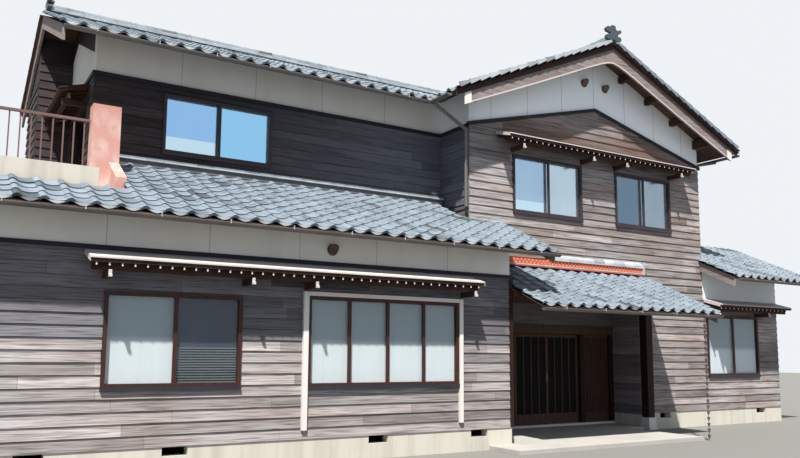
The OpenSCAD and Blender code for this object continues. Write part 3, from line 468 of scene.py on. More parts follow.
@dataclass(frozen=True)
class TileFinish:
    """Smoked clay tile: grey with a dull silver sheen, each tile a little different."""

    name: str
    light: RGB = (0.175, 0.215, 0.255)
    dark: RGB = (0.055, 0.068, 0.085)
    roughness: float = 0.55
    metallic: float = 0.12

    def material(self) -> bpy.types.Material:
        """Builds the material.

        Returns:
            The material.
        """
        s = Shader(self.name)
        bright = tuple(min(1.0, c * 1.25) for c in self.light)
        base = s.ramp(s.tint(), [(0.0, self.dark), (0.35, self.light), (1.0, bright)])
        dirt = s.veil(s.noise((2.0, 2.0, 2.0), 5.0, 3.0), (0.45, 0.0), (0.7, 0.45))
        return s.finish(s.mix(dirt, base, self.dark), self.roughness, self.metallic, specular=0.35)


@dataclass(frozen=True)
class GlassFinish:
    """Window glass that shows what is behind it under a clear reflection."""

    name: str
    tint: RGB = (0.95, 0.97, 0.98)
    shine: RGB = (0.9, 0.95, 1.0)
    least: float = 0.02
    most: float = 0.30

    def material(self) -> bpy.types.Material:
        """Builds the material.

        Returns:
            The material.
        """
        s = Shader(self.name)
        clear = s.node("BsdfTransparent", {"Color": opaque(self.tint)}).outputs[0]
        shine = s.node("BsdfGlossy", {"Roughness": 0.02, "Color": opaque(self.shine)}).outputs[0]
        edge_on = s.node("LayerWeight", {"Blend": 0.5}).outputs["Facing"]
        steep = s.node("Math", {0: edge_on, 1: 4.0}, operation="POWER").outputs[0]
        share = s.remap(steep, 0.0, 1.0, self.least, self.most)
        return s.close(s.node("MixShader", {0: share, 1: clear, 2: shine}).outputs[0])


def pane(name: str, color: RGB, stain: RGB, amount: float, roughness: float) -> PlainFinish:
    """The finish of a mirror-like sheet whose colour is a painted reflection of the sky or a pale room.

    Args:
        name: Name of the material.
        color: What it mirrors, painted in.
        stain: A second colour in it.
        amount: How much of the second colour comes in.
        roughness: How blurred its shine is.

    Returns:
        The finish.
    """
    return PlainFinish(name, color, stain, amount, roughness, 0.95, bump=0.0)


class Look(Enum):
    """The finishes, by what they cover."""

    BOARDS = WoodFinish("look_boards", (0.37, 0.345, 0.345), (0.17, 0.155, 0.158), (0.19, 0.125, 0.100),
                        0.45, streaks=0.55)
    # Boards of the lower front wall. The dark blue-grey that comes in from z 1.62 to 1.72 is painted shade:
    # the lower canopy's shadow on the boards.
    LOW_BOARDS = WoodFinish("look_low_boards", (0.40, 0.375, 0.375), (0.19, 0.175, 0.178),
                            (0.21, 0.145, 0.12), 0.4, streaks=0.5,
                            fade=Fade(2, 1.62, 1.72, (0.085, 0.090, 0.110), 0.75))
    # Boards of the gable triangle above the canopy: their darker colour is painted shade under the eave,
    # while the rusty brown patches are the boards' own colour.
    GABLE_TOP = WoodFinish("look_gable_top_boards", (0.25, 0.215, 0.21), (0.10, 0.085, 0.085),
                           (0.17, 0.085, 0.055), 0.6, streaks=0.5)
    DARK_BOARDS = WoodFinish("look_dark_boards", (0.052, 0.042, 0.046), (0.015, 0.012, 0.015),
                             (0.075, 0.050, 0.046), 0.4, streaks=0.4,
                             fade=Fade(0, -5.6, -1.4, (0.135, 0.145, 0.175), 0.85))
    RECESS_BOARDS = WoodFinish("look_recess_boards", (0.26, 0.235, 0.250), (0.13, 0.115, 0.125),
                               (0.14, 0.118, 0.118), 0.4, streaks=0.3)
    STAINED = WoodFinish("look_stained_wood", (0.036, 0.013, 0.011), (0.020, 0.009, 0.008),
                         (0.03, 0.014, 0.012), 0.3, (20.0, 20.0, 2.0), 0.7)
    FRAMES = WoodFinish("look_window_frames", (0.085, 0.032, 0.028), (0.055, 0.021, 0.019),
                        (0.065, 0.03, 0.027), 0.3, (20.0, 20.0, 2.0), 0.5,
                        fade=Fade(2, 3.5, 4.0, (0.060, 0.046, 0.056)))
    DOORS = WoodFinish("look_door_wood", (0.125, 0.072, 0.052), (0.060, 0.034, 0.025), (0.105, 0.046, 0.032),
                       0.5, (30.0, 30.0, 2.0), 0.6)
    TIMBER = WoodFinish("look_weathered_timber", (0.46, 0.40, 0.40), (0.26, 0.215, 0.21), (0.28, 0.20, 0.18),
                        0.4, (2.0, 2.0, 30.0), streaks=0.35)
    SOFFIT = WoodFinish("look_soffit_wood", (0.095, 0.048, 0.036), (0.045, 0.024, 0.019),
                        (0.065, 0.034, 0.026), 0.3, (3.0, 3.0, 3.0))
    FLOOR = WoodFinish("look_floor_wood", (0.16, 0.10, 0.06), (0.09, 0.055, 0.035), (0.12, 0.07, 0.045), 0.3,
                       (1.0, 30.0, 1.0), 0.5)
    # Plaster: the paler, bluer colour that comes in from x -1.0 to -0.5 of the row frame, over the gabled
    # wing, is painted sky light.
    PLASTER = PlainFinish("look_plaster", (0.72, 0.72, 0.68), (0.56, 0.54, 0.49), 0.35,
                          fade=Fade(0, -1.0, -0.5, (0.88, 0.95, 1.0), 0.95))
    CONCRETE = PlainFinish("look_concrete", (0.52, 0.50, 0.44), (0.34, 0.32, 0.28), 0.6, 0.9,
                           stain_scale=(4.0, 4.0, 0.4), grain=90.0, bump=0.002)
    SLAB = PlainFinish("look_slab", (0.36, 0.35, 0.33), (0.27, 0.265, 0.25), 0.6, 0.95,
                       stain_scale=(1.0, 1.0, 1.0), grain=90.0, bump=0.002)
    WHITE = PlainFinish("look_white_paint", (0.64, 0.62, 0.60), (0.50, 0.47, 0.43), 0.35, 0.6)
    WHITE_STONE = PlainFinish("look_white_stone", (0.64, 0.61, 0.60), (0.55, 0.50, 0.48), 0.4, 0.8)
    MORTAR = PlainFinish("look_salmon_mortar", (0.50, 0.27, 0.235), (0.60, 0.50, 0.47), 0.9, 0.9, 0.0,
                         (3.0, 3.0, 2.0), 80.0, 0.003, fade=Fade(2, 4.70, 5.02, (0.42, 0.14, 0.11), 0.6))
    METAL = PlainFinish("look_gutter_metal", (0.12, 0.11, 0.11), (0.22, 0.19, 0.17), 0.5, 0.5, 0.2)
    RAIL = PlainFinish("look_rail_metal", (0.14, 0.085, 0.085), (0.20, 0.13, 0.12), 0.5, 0.6, 0.1)
    BLACK = PlainFinish("look_black_trim", (0.016, 0.018, 0.026), (0.03, 0.032, 0.042), 0.4, 0.6,
                        specular=0.15)
    VENT = PlainFinish("look_vent_metal", (0.10, 0.075, 0.06), (0.05, 0.035, 0.028), 0.6, 0.6, 0.2)
    LATTICE = PlainFinish("look_orange_lattice", (0.48, 0.10, 0.045), (0.30, 0.07, 0.04), 0.4, 0.8)
    TILE = TileFinish("look_roof_tile")
    # A paler copy of the tile colour. On the eave tiles' aprons it is a painted highlight of their lit
    # fronts, and on the left verge tiles it is painted sunlight, a lit copy of TILE.
    PALE_TILE = TileFinish("look_pale_tile", (0.36, 0.40, 0.43), (0.18, 0.20, 0.22), 0.6, 0.1)
    PALE_WOOD = PlainFinish("look_pale_wood", (0.50, 0.46, 0.45), (0.34, 0.30, 0.29), 0.5, 0.7)
    ORANGE = PlainFinish("look_orange", (0.60, 0.26, 0.15), (0.40, 0.14, 0.08), 0.4, 0.7)
    # Opaque near-black sheet in the door leaves: painted shade of the dark interior behind the glass.
    DARK_PANE = PlainFinish("look_dark_pane", (0.010, 0.009, 0.009), (0.014, 0.012, 0.012), 0.4, 0.6,
                            specular=0.05)
    JOINT = PlainFinish("look_joint", (0.34, 0.35, 0.36), (0.30, 0.31, 0.32), 0.4, 0.9)
    # Near-black bedding: painted shade of the hollows under the ridge and wall tiles.
    BEDDING = PlainFinish("look_bedding", (0.10, 0.10, 0.11), (0.16, 0.16, 0.16), 0.4, 0.9)
    GLASS = GlassFinish("look_window_glass")
    # Curtains: the darker blue-grey that comes in from z 1.64 to 1.74 is painted shade of the lower canopy,
    # together with a painted reflection of the dark eaves in the glass.
    CURTAIN = PlainFinish("look_curtain", (0.62, 0.645, 0.655), (0.52, 0.57, 0.60), 0.5, 0.8, 0.0,
                          (10.0, 10.0, 0.5), fade=Fade(2, 1.64, 1.74, (0.20, 0.26, 0.28), 0.75))
    # Mirror-like sheets behind the panes of the upper and gable windows. Their colours are painted
    # reflections of the sky and of pale rooms, and the pale bands at the panes' feet are painted sunlight
    # below the eave and canopy shadows.
    SKY_REFLECTION = pane("look_painted_sky_reflection", (0.36, 0.62, 0.95), (0.44, 0.68, 0.97), 0.4, 0.12)
    BRIGHT_SKY_REFLECTION = pane("look_painted_bright_sky", (0.37, 0.72, 1.0), (0.42, 0.75, 1.0), 0.4, 0.12)
    SUNLIT_BAND = pane("look_painted_sunlit_band", (0.74, 0.92, 1.0), (0.80, 0.95, 1.0), 0.4, 0.12)
    HAZE_REFLECTION = pane("look_painted_haze_reflection", (0.44, 0.60, 0.78), (0.56, 0.68, 0.78), 0.7, 0.15)
    MILK_REFLECTION = pane("look_painted_milk_reflection", (0.66, 0.75, 0.82), (0.56, 0.66, 0.74), 0.7, 0.15)
    GREY_REFLECTION = pane("look_painted_grey_reflection", (0.36, 0.42, 0.48), (0.45, 0.50, 0.54), 0.6, 0.15)
    DUSK_REFLECTION = pane("look_painted_dusk_reflection", (0.150, 0.230, 0.320), (0.20, 0.27, 0.34), 0.6, 0.15)
    # Dark sheet behind the right pane of the a window: painted shade of the unlit room.
    ROOM = PlainFinish("look_dark_room", (0.045, 0.055, 0.080), (0.07, 0.075, 0.10), 0.5, 0.6, specular=0.1)
    BLIND = PlainFinish("look_blind", (0.13, 0.15, 0.15), (0.10, 0.115, 0.115), 0.3, 0.5, specular=0.1)
    DARK_METAL = PlainFinish("look_dark_sill", (0.022, 0.027, 0.036), (0.04, 0.045, 0.055), 0.4, 0.5, 0.2)

    @property
    def material(self) -> bpy.types.Material:
        """The look's material, built at its first use.

        Returns:
            The material.
        """
        found = bpy.data.materials.get(self.value.name)
        return found or self.value.material()


LOOK_NODES: dict[Look, str] = {
    Look.CONCRETE: "footings terrace_deck",
    Look.SLAB: "porch_slab entrance_floor",
    Look.FLOOR: "ground_floor upper_floor",
    Look.BOARDS: "lower_front_wall lower_end_walls gable_front_wall gable_side_walls rear_walls wing_walls",
    Look.DARK_BOARDS: "upper_front_wall upper_end_wall",
    Look.RECESS_BOARDS: "recess_walls entrance_wall",
    Look.PLASTER: "plaster_walls",
    Look.BLACK: "gable_band",
    Look.STAINED: "entrance_posts",
    Look.DOORS: "entrance_head entrance_side_panels sliding_door_left sliding_door_right",
    Look.WHITE_STONE: "entrance_sill",
    Look.FRAMES: "window_frames",
    Look.GLASS: "window_glass",
    Look.WHITE: "window_casing",
    Look.SOFFIT: "canopies gable_purlins eave_rafters",
    Look.TIMBER: "gable_bargeboards upper_bargeboards",
    Look.TILE: "gable_roof upper_roof lean_to_roof porch_roof wing_roof ridge_ornaments",
    Look.BEDDING: "ridges",
    Look.LATTICE: "porch_ridge",
    Look.METAL: "gutters rain_chain",
    Look.VENT: "round_vents",
    Look.MORTAR: "terrace_pillar",
    Look.RAIL: "terrace_rail",
}


class MeshMaker:
    """Gathers faces with a tint each and turns them into one object."""

    def __init__(self, name: str, look: Look) -> None:
        """Starts an empty mesh.

        Args:
            name: The object's name.
            look: Its finish.
        """
        self.name = name
        self.look = look
        self.points: list[Vector] = []
        self.faces: list[tuple[int, ...]] = []
        self.tints: list[float] = []

    def add(self, points: Iterable[Vector], faces: Iterable[Sequence[int]], tint: float = 0.5) -> None:
        """Adds faces over new points.

        Args:
            points: New points.
            faces: Faces over them.
            tint: Tint of these faces.
        """
        base = len(self.points)
        self.points.extend(points)
        for f in faces:
            self.faces.append(tuple(base + i for i in f))
            self.tints.append(tint)

    def prism(self, front: Sequence[Vector], back: Sequence[Vector], tint: float = 0.5) -> None:
        """Adds a closed prism between two outlines of the same length.

        Args:
            front: Front outline.
            back: Back outline.
            tint: Tint of its faces.
        """
        n = len(front)
        sides = [(i, n + i, n + (i + 1) % n, (i + 1) % n) for i in range(n)]
        self.add([*front, *back], [tuple(range(n)), tuple(reversed(range(n, 2 * n))), *sides], tint)

    def plate(self, outline: Sequence[Point2], y0: float, y1: float, base: Vector = ZERO) -> None:
        """Adds an upright plate.

        Args:
            outline: Outline in (x, z) from the base.
            y0: Its front face, from the base.
            y1: Its rear face, from the base.
            base: Zero of the outline, in the row frame.
        """
        self.prism(*([Vector((x, y, z)) + base for x, z in outline] for y in (y0, y1)))

    def box(self, low: Vector, high: Vector) -> None:
        """Adds a box.

        Args:
            low: Lowest corner.
            high: Highest corner.
        """
        self.plate(rect(low.x, high.x, low.z, high.z), low.y, high.y)

    def extrude(self, profile: Sequence[Point2], x0: float, x1: float, base: Vector = ZERO) -> None:
        """Adds a bar along X from a profile in Y and Z.

        Args:
            profile: Outline in (y, z) from the base.
            x0: Its left end, from the base.
            x1: Its right end, from the base.
            base: Zero of the profile, in the row frame.
        """
        self.prism(*([Vector((x, y, z)) + base for y, z in profile] for x in (x0, x1)))

    def mesh(self, closed: bool = True) -> bpy.types.Mesh:
        """Makes the mesh.

        Args:
            closed: Whether it is made of closed solids, whose faces are then turned outwards.

        Returns:
            The mesh.
        """
        mesh = bpy.data.meshes.new(self.name)
        mesh.from_pydata([tuple(p) for p in self.points], [], self.faces)
        if closed:
            work = bmesh.new()
            work.from_mesh(mesh)
            bmesh.ops.recalc_face_normals(work, faces=work.faces)
            work.to_mesh(mesh)
            work.free()
        return mesh

    def build(self, slot: str, body: str = BODY) -> bpy.types.Object:
        """Makes the object and lets it ride on a body.

        Args:
            slot: Not used.
            body: CAD body that carries it.

        Returns:
            The object.
        """
        mesh = self.mesh()
        mesh.attributes.new("tint", "FLOAT", "FACE").data.foreach_set("value", self.tints)
        mesh.materials.append(self.look.material)
        made = show(self.name, mesh)
        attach(made, body)
        LOG.info("%s: %d faces", self.name, len(mesh.polygons))
        return made


def clip(outline: list[Point2], p: Point2, q: Point2) -> list[Point2]:
    """Keeps the part of a convex outline that lies to the left of a line.

    Args:
        outline: Corners in order.
        p: First point of the line.
        q: Second point of the line.

    Returns:
        The clipped outline.
    """
    out: list[Point2] = []
    offsets = [(q[0] - p[0]) * (v - p[1]) - (q[1] - p[1]) * (u - p[0]) for u, v in outline]
    for i, start in enumerate(outline):
        j = (i + 1) % len(outline)
        end, a, b = outline[j], offsets[i], offsets[j]
        if a >= 0:
            out.append(start)
        if (a >= 0) != (b >= 0):
            t = a / (a - b)
            out.append((start[0] + (end[0] - start[0]) * t, start[1] + (end[1] - start[1]) * t))
    return out


class Side(Enum):
    """The ways that a wall faces, each with its normal."""

    FRONT = (0, -1)
    REAR = (0, 1)
    LEFT = (-1, 0)
    RIGHT = (1, 0)


@dataclass
class Wall:
    """A flat wall face that is dressed with lapped boards.

    Attributes:
        name: Name of the piece.
        side: The way it faces.
        face: Place of the face along its normal, in the house frame.
        outline: Convex outline in (along, up).
        look: Finish of the boards.
        holes: Windows and doors, each as its two sides, foot and top.
    """

    name: str
    side: Side
    face: float
    outline: list[Point2]
    look: Look = Look.BOARDS
    holes: list[Box2] = field(default_factory=list)

    def place(self, u: float, z: float, out: float) -> Vector:
        """Puts a point of the wall into the row frame.

        Args:
            u: Along the wall.
            z: Up.
            out: Out from the face.

        Returns:
            The point.
        """
        nx, ny = self.side.value
        if ny:
            return at(u, self.face + ny * out, z)
        return at(self.face + nx * out, u, z)

    def find_holes(self, boxes: list[tuple[Vector, Vector]]) -> None:
        """Takes as holes the boxes that pass through or touch the face.

        Args:
            boxes: Boxes of frames and panes, in the house frame.
        """
        axis, along = (1, 0) if self.side.value[1] else (0, 1)
        reach = 0.1
        for lo, hi in boxes:
            if lo[axis] - reach < self.face < hi[axis] + reach:
                self.holes.append((lo[along], hi[along], lo[2], hi[2]))

    def free_spans(self, z0: float, z1: float) -> list[Point2]:
        """Finds the stretches between the holes at one height.

        Args:
            z0: Foot of the strip.
            z1: Top of the strip.

        Returns:
            Both ends of each stretch.
        """
        left, right = min(u for u, _ in self.outline), max(u for u, _ in self.outline)
        spans: list[Point2] = []
        for a, b in sorted((h[0], h[1]) for h in self.holes if h[2] < z1 - NEAR and h[3] > z0 + NEAR):
            if a > left:
                spans.append((left, a))
            left = max(left, b)
        if left < right:
            spans.append((left, right))
        return spans

    def trimmed(self, cell: list[Point2]) -> list[Point2]:
        """Cuts a piece of board to the wall's outline.

        Args:
            cell: Its corners.

        Returns:
            The corners of what is left, if anything is.
        """
        for p, q in zip(self.outline, [*self.outline[1:], self.outline[0]]):
            cell = clip(cell, p, q)
            if len(cell) < 3:
                return []
        return cell

    def cells(self) -> Iterable[tuple[list[Point2], float, float]]:
        """Cuts the wall into pieces of board.

        Yields:
            Outline, foot of its row and tint.
        """
        rng = random.Random(f"{SEED}{self.name}")
        us, zs = zip(*self.outline)
        row = math.floor((min(zs) - LAP_START) / LAP_PITCH)
        while LAP_START + row * LAP_PITCH < max(zs):
            foot = LAP_START + row * LAP_PITCH
            joints = [min(us) - 1.0]
            while joints[-1] < max(us) + 1.0:
                joints.append(joints[-1] + rng.uniform(1.5, 3.9))
            shades = [min(1.0, max(0.0, rng.gauss(0.5, 0.27))) for _ in joints]
            inner = {z for hole in self.holes for z in hole[2:] if foot < z < foot + LAP_PITCH}
            levels = sorted({foot, foot + LAP_PITCH} | inner)
            for z0, z1 in zip(levels, levels[1:]):
                for a, b in self.free_spans(z0, z1):
                    for j0, j1, shade in zip(joints, joints[1:], shades):
                        u0, u1 = max(a, j0 + BOARD_GAP), min(b, j1 - BOARD_GAP)
                        cell = self.trimmed(rect(u0, u1, z0, z1)) if u1 - u0 >= 0.01 else []
                        if cell:
                            yield cell, foot, shade
            row += 1

    def dress(self) -> None:
        """Builds the boards."""
        maker = MeshMaker(self.name, self.look)
        for cell, foot, shade in self.cells():
            front = []
            for u, z in cell:
                lip = BOARD_LIP if z < foot + NEAR else 0.0
                out = BOARD_OUT_LOW + (BOARD_OUT_HIGH - BOARD_OUT_LOW) * (z - foot) / LAP_PITCH
                front.append(self.place(u, z + lip, out))
            maker.prism(front, [self.place(u, z, 0.0005) for u, z in cell], shade)
        maker.build("dark_boards" if self.look in (Look.DARK_BOARDS, Look.RECESS_BOARDS) else "boards")


class Scatter:
    """Geometry Nodes that put one small mesh on many points, with a turn, a size and a tint."""

    def __init__(self) -> None:
        """Builds the node group once."""
        self.group = tree = bpy.data.node_groups.new("scatter", "GeometryNodeTree")
        for name, kind in (("Geometry", "Geometry"), ("Piece", "Object"), ("Material", "Material"),
                           ("Seed", "Int"), ("Jitter", "Float"), ("Turn", "Vector"), ("Size", "Vector")):
            tree.interface.new_socket(name, in_out="INPUT", socket_type="NodeSocket" + kind)
        tree.interface.new_socket("Geometry", in_out="OUTPUT", socket_type="NodeSocketGeometry")
        given = add_node(tree, "NodeGroupInput").outputs
        low, high = (add_node(tree, "ShaderNodeVectorMath", {0: (sign,) * 3, "Scale": given["Jitter"]},
                              operation="SCALE").outputs[0] for sign in (-1.0, 1.0))
        jolt = add_node(tree, "FunctionNodeRandomValue", {0: low, 1: high, "Seed": given["Seed"]},
                        data_type="FLOAT_VECTOR")
        angle = add_node(tree, "ShaderNodeVectorMath", {0: given["Turn"], 1: jolt.outputs[0]},
                         operation="ADD")
        spin = add_node(tree, "FunctionNodeEulerToRotation", {0: angle.outputs[0]})
        piece = add_node(tree, "GeometryNodeObjectInfo", {"Object": given["Piece"]},
                         transform_space="RELATIVE")
        put = add_node(tree, "GeometryNodeInstanceOnPoints",
                       {"Points": given["Geometry"], "Instance": piece.outputs["Geometry"],
                        "Rotation": spin.outputs[0], "Scale": given["Size"]})
        real = add_node(tree, "GeometryNodeRealizeInstances", {0: put.outputs[0]})
        paint = add_node(tree, "GeometryNodeSetMaterial",
                         {"Geometry": real.outputs[0], "Material": given["Material"]})
        add_node(tree, "NodeGroupOutput", {0: paint.outputs[0]})

    def repeat(self, name: str, mesh: bpy.types.Mesh, spots: list[Vector], look: Look,
               turn: Point3 = (0.0, 0.0, 0.0), jitter: float = 0.0, size: Point3 = (1.0, 1.0, 1.0),
               shades: list[float] | None = None) -> None:
        """Puts a small mesh on every spot and joins them into one piece.

        Args:
            name: The new object's name.
            mesh: What is repeated.
            spots: Places in the row frame.
            look: Finish.
            turn: Euler angles of each.
            jitter: Largest random turn, in radians.
            size: Scale of each.
            shades: Tint of each, drawn from the name where it isn't given.
        """
        cloud = bpy.data.meshes.new(name + "_points")
        cloud.from_pydata([tuple(p) for p in spots], [], [])
        values = shades or tints(name, len(spots))
        cloud.attributes.new("tint", "FLOAT", "POINT").data.foreach_set("value", values)
        holder, piece = show(name + "_points", cloud), show(name + "_piece", mesh)
        mod = holder.modifiers.new("scatter", "NODES")
        mod.node_group = self.group
        given = {"Piece": piece, "Material": look.material, "Seed": SEED, "Jitter": jitter, "Turn": turn,
                 "Size": size}
        for item in self.group.interface.items_tree:
            if item.in_out == "INPUT" and item.name in given:
                mod[item.identifier] = given[item.name]
        graph = bpy.context.evaluated_depsgraph_get()
        joined = bpy.data.meshes.new_from_object(holder.evaluated_get(graph), depsgraph=graph)
        joined.name = name
        made = show(name, joined)
        bpy.data.objects.remove(holder)
        bpy.data.objects.remove(piece)
        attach(made, BODY)
        LOG.info("%s: %d faces from %d points", name, len(joined.polygons), len(spots))


@dataclass
class TileShape:
    """A pan tile: a round roll on one side and a shallow pan beside it.

    Attributes:
        width: Covered width.
        length: Covered length up the slope.
        overlap: Hidden length.
        lip: Thickness that shows at its lower edge.
        profile: Its cross-section as (share of the width, height).
    """

    width: float
    length: float = 0.245
    overlap: float = 0.045
    lip: float = 0.026
    profile: tuple[Point2, ...] = ((0.0, 0.012), (0.06, 0.030), (0.14, 0.040), (0.22, 0.038), (0.30, 0.024),
                                   (0.38, 0.008), (0.52, -0.001), (0.68, -0.004), (0.84, 0.001), (1.0, 0.012))

    def top(self) -> float:
        """Height of the highest point over the base plane.

        Returns:
            The height.
        """
        return max(z for _, z in self.profile) + self.lip

    def tile(self, name: str, drop: float) -> bpy.types.Mesh:
        """Builds one tile with its lower left corner at the origin.

        Args:
            name: Name of the mesh.
            drop: How far its lower edge hangs below the tile.

        Returns:
            The mesh.
        """
        maker = MeshMaker(name, Look.TILE)
        rows = [(0.004, -drop), (0.0, self.lip - 0.006), (0.014, self.lip), (self.length + self.overlap, 0.0)]
        n = len(self.profile)
        for pair in zip(rows, rows[1:]):
            points = [Vector((x * self.width, y, z + h)) for y, h in pair for x, z in self.profile]
            maker.add(points, [(i, i + 1, n + i + 1, n + i) for i in range(n - 1)])
        return maker.mesh(closed=False)

    def apron(self, name: str) -> bpy.types.Mesh:
        """Builds the lens-shaped apron that hangs under the pan of an eave tile; its paler tile colour is a
        painted highlight of the lit front.

        Args:
            name: Name of the mesh.

        Returns:
            The mesh.
        """
        left, right, deep, steps = 0.27 * self.width, 1.01 * self.width, 0.046, 10
        arc = [(left + (right - left) * i / steps, math.sin(math.pi * i / steps)) for i in range(steps + 1)]
        upper = [(x, self.lip + 0.004 - 0.008 * swell) for x, swell in arc]
        lower = [(x, self.lip - 0.004 - deep * swell) for x, swell in arc]
        maker = MeshMaker(name, Look.PALE_TILE)
        maker.plate([*lower, *reversed(upper)], -0.006, 0.004)
        return maker.mesh()


@dataclass
class RoofField:
    """One slope of tiles on its boarding.

    Attributes:
        name: Name of the pieces.
        origin: A point on the eave line, at the tiles' top, in the house frame.
        heading: Turn about Z; 0 rises to +Y.
        slope: Rise over run.
        plan: Outline in (along the eave, inwards) from the origin.
        pitch: Width of a tile.
        nodes: CAD nodes that it stands for.
    """

    name: str
    origin: Point3
    heading: float
    slope: float
    plan: list[Point2]
    pitch: float
    nodes: tuple[str, ...] = ()

    def inside(self, u: float, v: float) -> bool:
        """Whether a place lies within the plan.

        Args:
            u: Along the eave.
            v: Inwards.

        Returns:
            True if it does.
        """
        found = False
        for (x0, y0), (x1, y1) in zip(self.plan, [*self.plan[1:], self.plan[0]]):
            if (y0 > v) != (y1 > v) and u < x0 + (v - y0) * (x1 - x0) / (y1 - y0):
                found = not found
        return found

    def dress(self, scatter: Scatter) -> None:
        """Builds the boarding and the tiles.

        Args:
            scatter: The node group that repeats.
        """
        shape = TileShape(self.pitch)
        angle = math.atan(self.slope)
        depth = (shape.top() + 0.004) / math.cos(angle)
        m = Matrix.Translation(at(*self.origin)) @ Matrix.Rotation(self.heading, 4, "Z")
        deck = MeshMaker(self.name + "_boarding", Look.SOFFIT)
        deck.prism(*([m @ Vector((u, v, self.slope * v - under)) for u, v in self.plan]
                     for under in (depth + 0.03, ROOF_T / math.cos(angle))))
        boarding = deck.build("weathered_wood")
        if self.nodes:
            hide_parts(*self.nodes)
        us, vs = zip(*self.plan)
        run = shape.length * math.cos(angle)
        columns = round((max(us) - min(us)) / self.pitch)
        width = (max(us) - min(us)) / columns
        field_spots, eave_spots = [], []
        for j in range(math.ceil((max(vs) - min(vs)) / run)):
            v = min(vs) + j * run
            for u in (min(us) + i * width for i in range(columns)):
                if self.inside(u + width / 2, v + run * 0.5):
                    (field_spots if j else eave_spots).append(m @ Vector((u, v, self.slope * v - depth)))
        shades = tints(self.name, len(field_spots) + len(eave_spots))
        size = (width / self.pitch, 1.0, 1.0)
        rise, level = (angle, 0.0, self.heading), (0.0, 0.0, self.heading)
        # The aprons take the paler tile colour: a painted highlight on the eave tiles' lit fronts.
        for part, mesh, spots, look, turn, jitter in (
                ("_tiles", shape.tile("tile", 0.010), field_spots, Look.TILE, rise, 0.008),
                ("_aprons", shape.apron("apron"), eave_spots, Look.PALE_TILE, level, 0.01),
                ("_eave_tiles", shape.tile("eave_tile", 0.020), eave_spots, Look.TILE, rise, 0.008)):
            own = shades[len(field_spots):] if spots is eave_spots else shades[:len(field_spots)]
            scatter.repeat(self.name + part, mesh, spots, look, turn, jitter, size, own)


def row_spots(start: Vector, step: float, count: int, heading: float = 0.0) -> list[Vector]:
    """Places in a row.

    Args:
        start: The first, in the row frame.
        step: How far apart they are.
        count: How many.
        heading: Direction of the row.

    Returns:
        The places.
    """
    way = Vector((math.cos(heading), math.sin(heading), 0.0)) * step
    return [start + way * k for k in range(count)]


def flat_row(scatter: Scatter, name: str, look: Look, start: Vector, length: float, low: Point2, high: Point2,
             jitter: float, gap: float = 0.002, heading: float = 0.0) -> None:
    """Lays a row of flat tiles.

    Args:
        scatter: The node group that repeats.
        name: Name of the piece.
        look: Finish.
        start: Start of the row, in the row frame.
        length: Its length.
        low: Lowest edge of a tile in (y, z) from the start.
        high: Highest edge.
        jitter: Largest random turn.
        gap: Joint at the start of each tile.
        heading: Direction of the row.
    """
    count = max(1, round(length / FLAT_TILE))
    step = length / count
    tile = MeshMaker(name + "_tile", look)
    tile.box(Vector((gap, *low)), Vector((step - 0.002, *high)))
    scatter.repeat(name, tile.mesh(), row_spots(start, step, count, heading), look,
                   (0.0, 0.0, heading), jitter)


def arch(radius: float, sides: int) -> list[Point2]:
    """A half circle on a low foot.

    Args:
        radius: Its radius.
        sides: Faces round the half.

    Returns:
        The outline.
    """
    angles = [math.pi * i / sides for i in range(sides + 1)]
    arc = [(-radius * math.cos(a), radius * math.sin(a)) for a in angles]
    return [(-radius, -0.02), *arc, (radius, -0.02)]


def cap_tile(name: str, length: float, radius: float, collar: float = 0.006,
             sides: int = 10) -> bpy.types.Mesh:
    """Builds a half-round cap tile along X with a thicker collar at its end.

    Args:
        name: Name of the mesh.
        length: Its length.
        radius: Its outer radius.
        collar: Extra radius of the collar.
        sides: Faces round the half.

    Returns:
        The mesh.
    """
    maker = MeshMaker(name, Look.TILE)
    maker.extrude(arch(radius, sides), 0.0, length - 0.028)
    maker.extrude(arch(radius + collar, sides), length - 0.03, length - 0.002)
    return maker.mesh()


@dataclass
class RidgeTiles:
    """Flat tiles in steps and round caps over a CAD ridge.

    Attributes:
        name: Name of the pieces.
        start: Start of the ridge's foot, in the house frame.
        heading: Direction of the ridge.
        length: Its length.
        width: Width of the lowest row.
        rows: Rows of flat tiles.
        row_h: Height of a row.
        inset: How much narrower each row is on each side.
    """

    name: str
    start: Point3
    heading: float
    length: float
    width: float
    rows: int
    row_h: float = 0.024
    inset: float = 0.012

    def dress(self, scatter: Scatter) -> None:
        """Builds the rows and the caps.

        Args:
            scatter: The node group that repeats.
        """
        rise = Vector((0.0, 0.0, self.row_h))
        for i in range(self.rows):
            half = self.width / 2 - self.inset * i + 0.005
            flat_row(scatter, f"{self.name}_flat_row_{i}", Look.PALE_TILE, at(*self.start) + rise * i,
                     self.length, (-half, 0.006), (half, self.row_h - 0.001), 0.004, heading=self.heading)
        count = max(1, round(self.length / FLAT_TILE))
        step = self.length / count
        spots = row_spots(at(*self.start) + rise * self.rows, step, count, self.heading)
        cap = cap_tile(self.name + "_cap", step, self.width / 2 - self.inset * self.rows + 0.003)
        scatter.repeat(self.name + "_caps", cap, spots, Look.TILE, (0.0, 0.0, self.heading),
                       0.004)


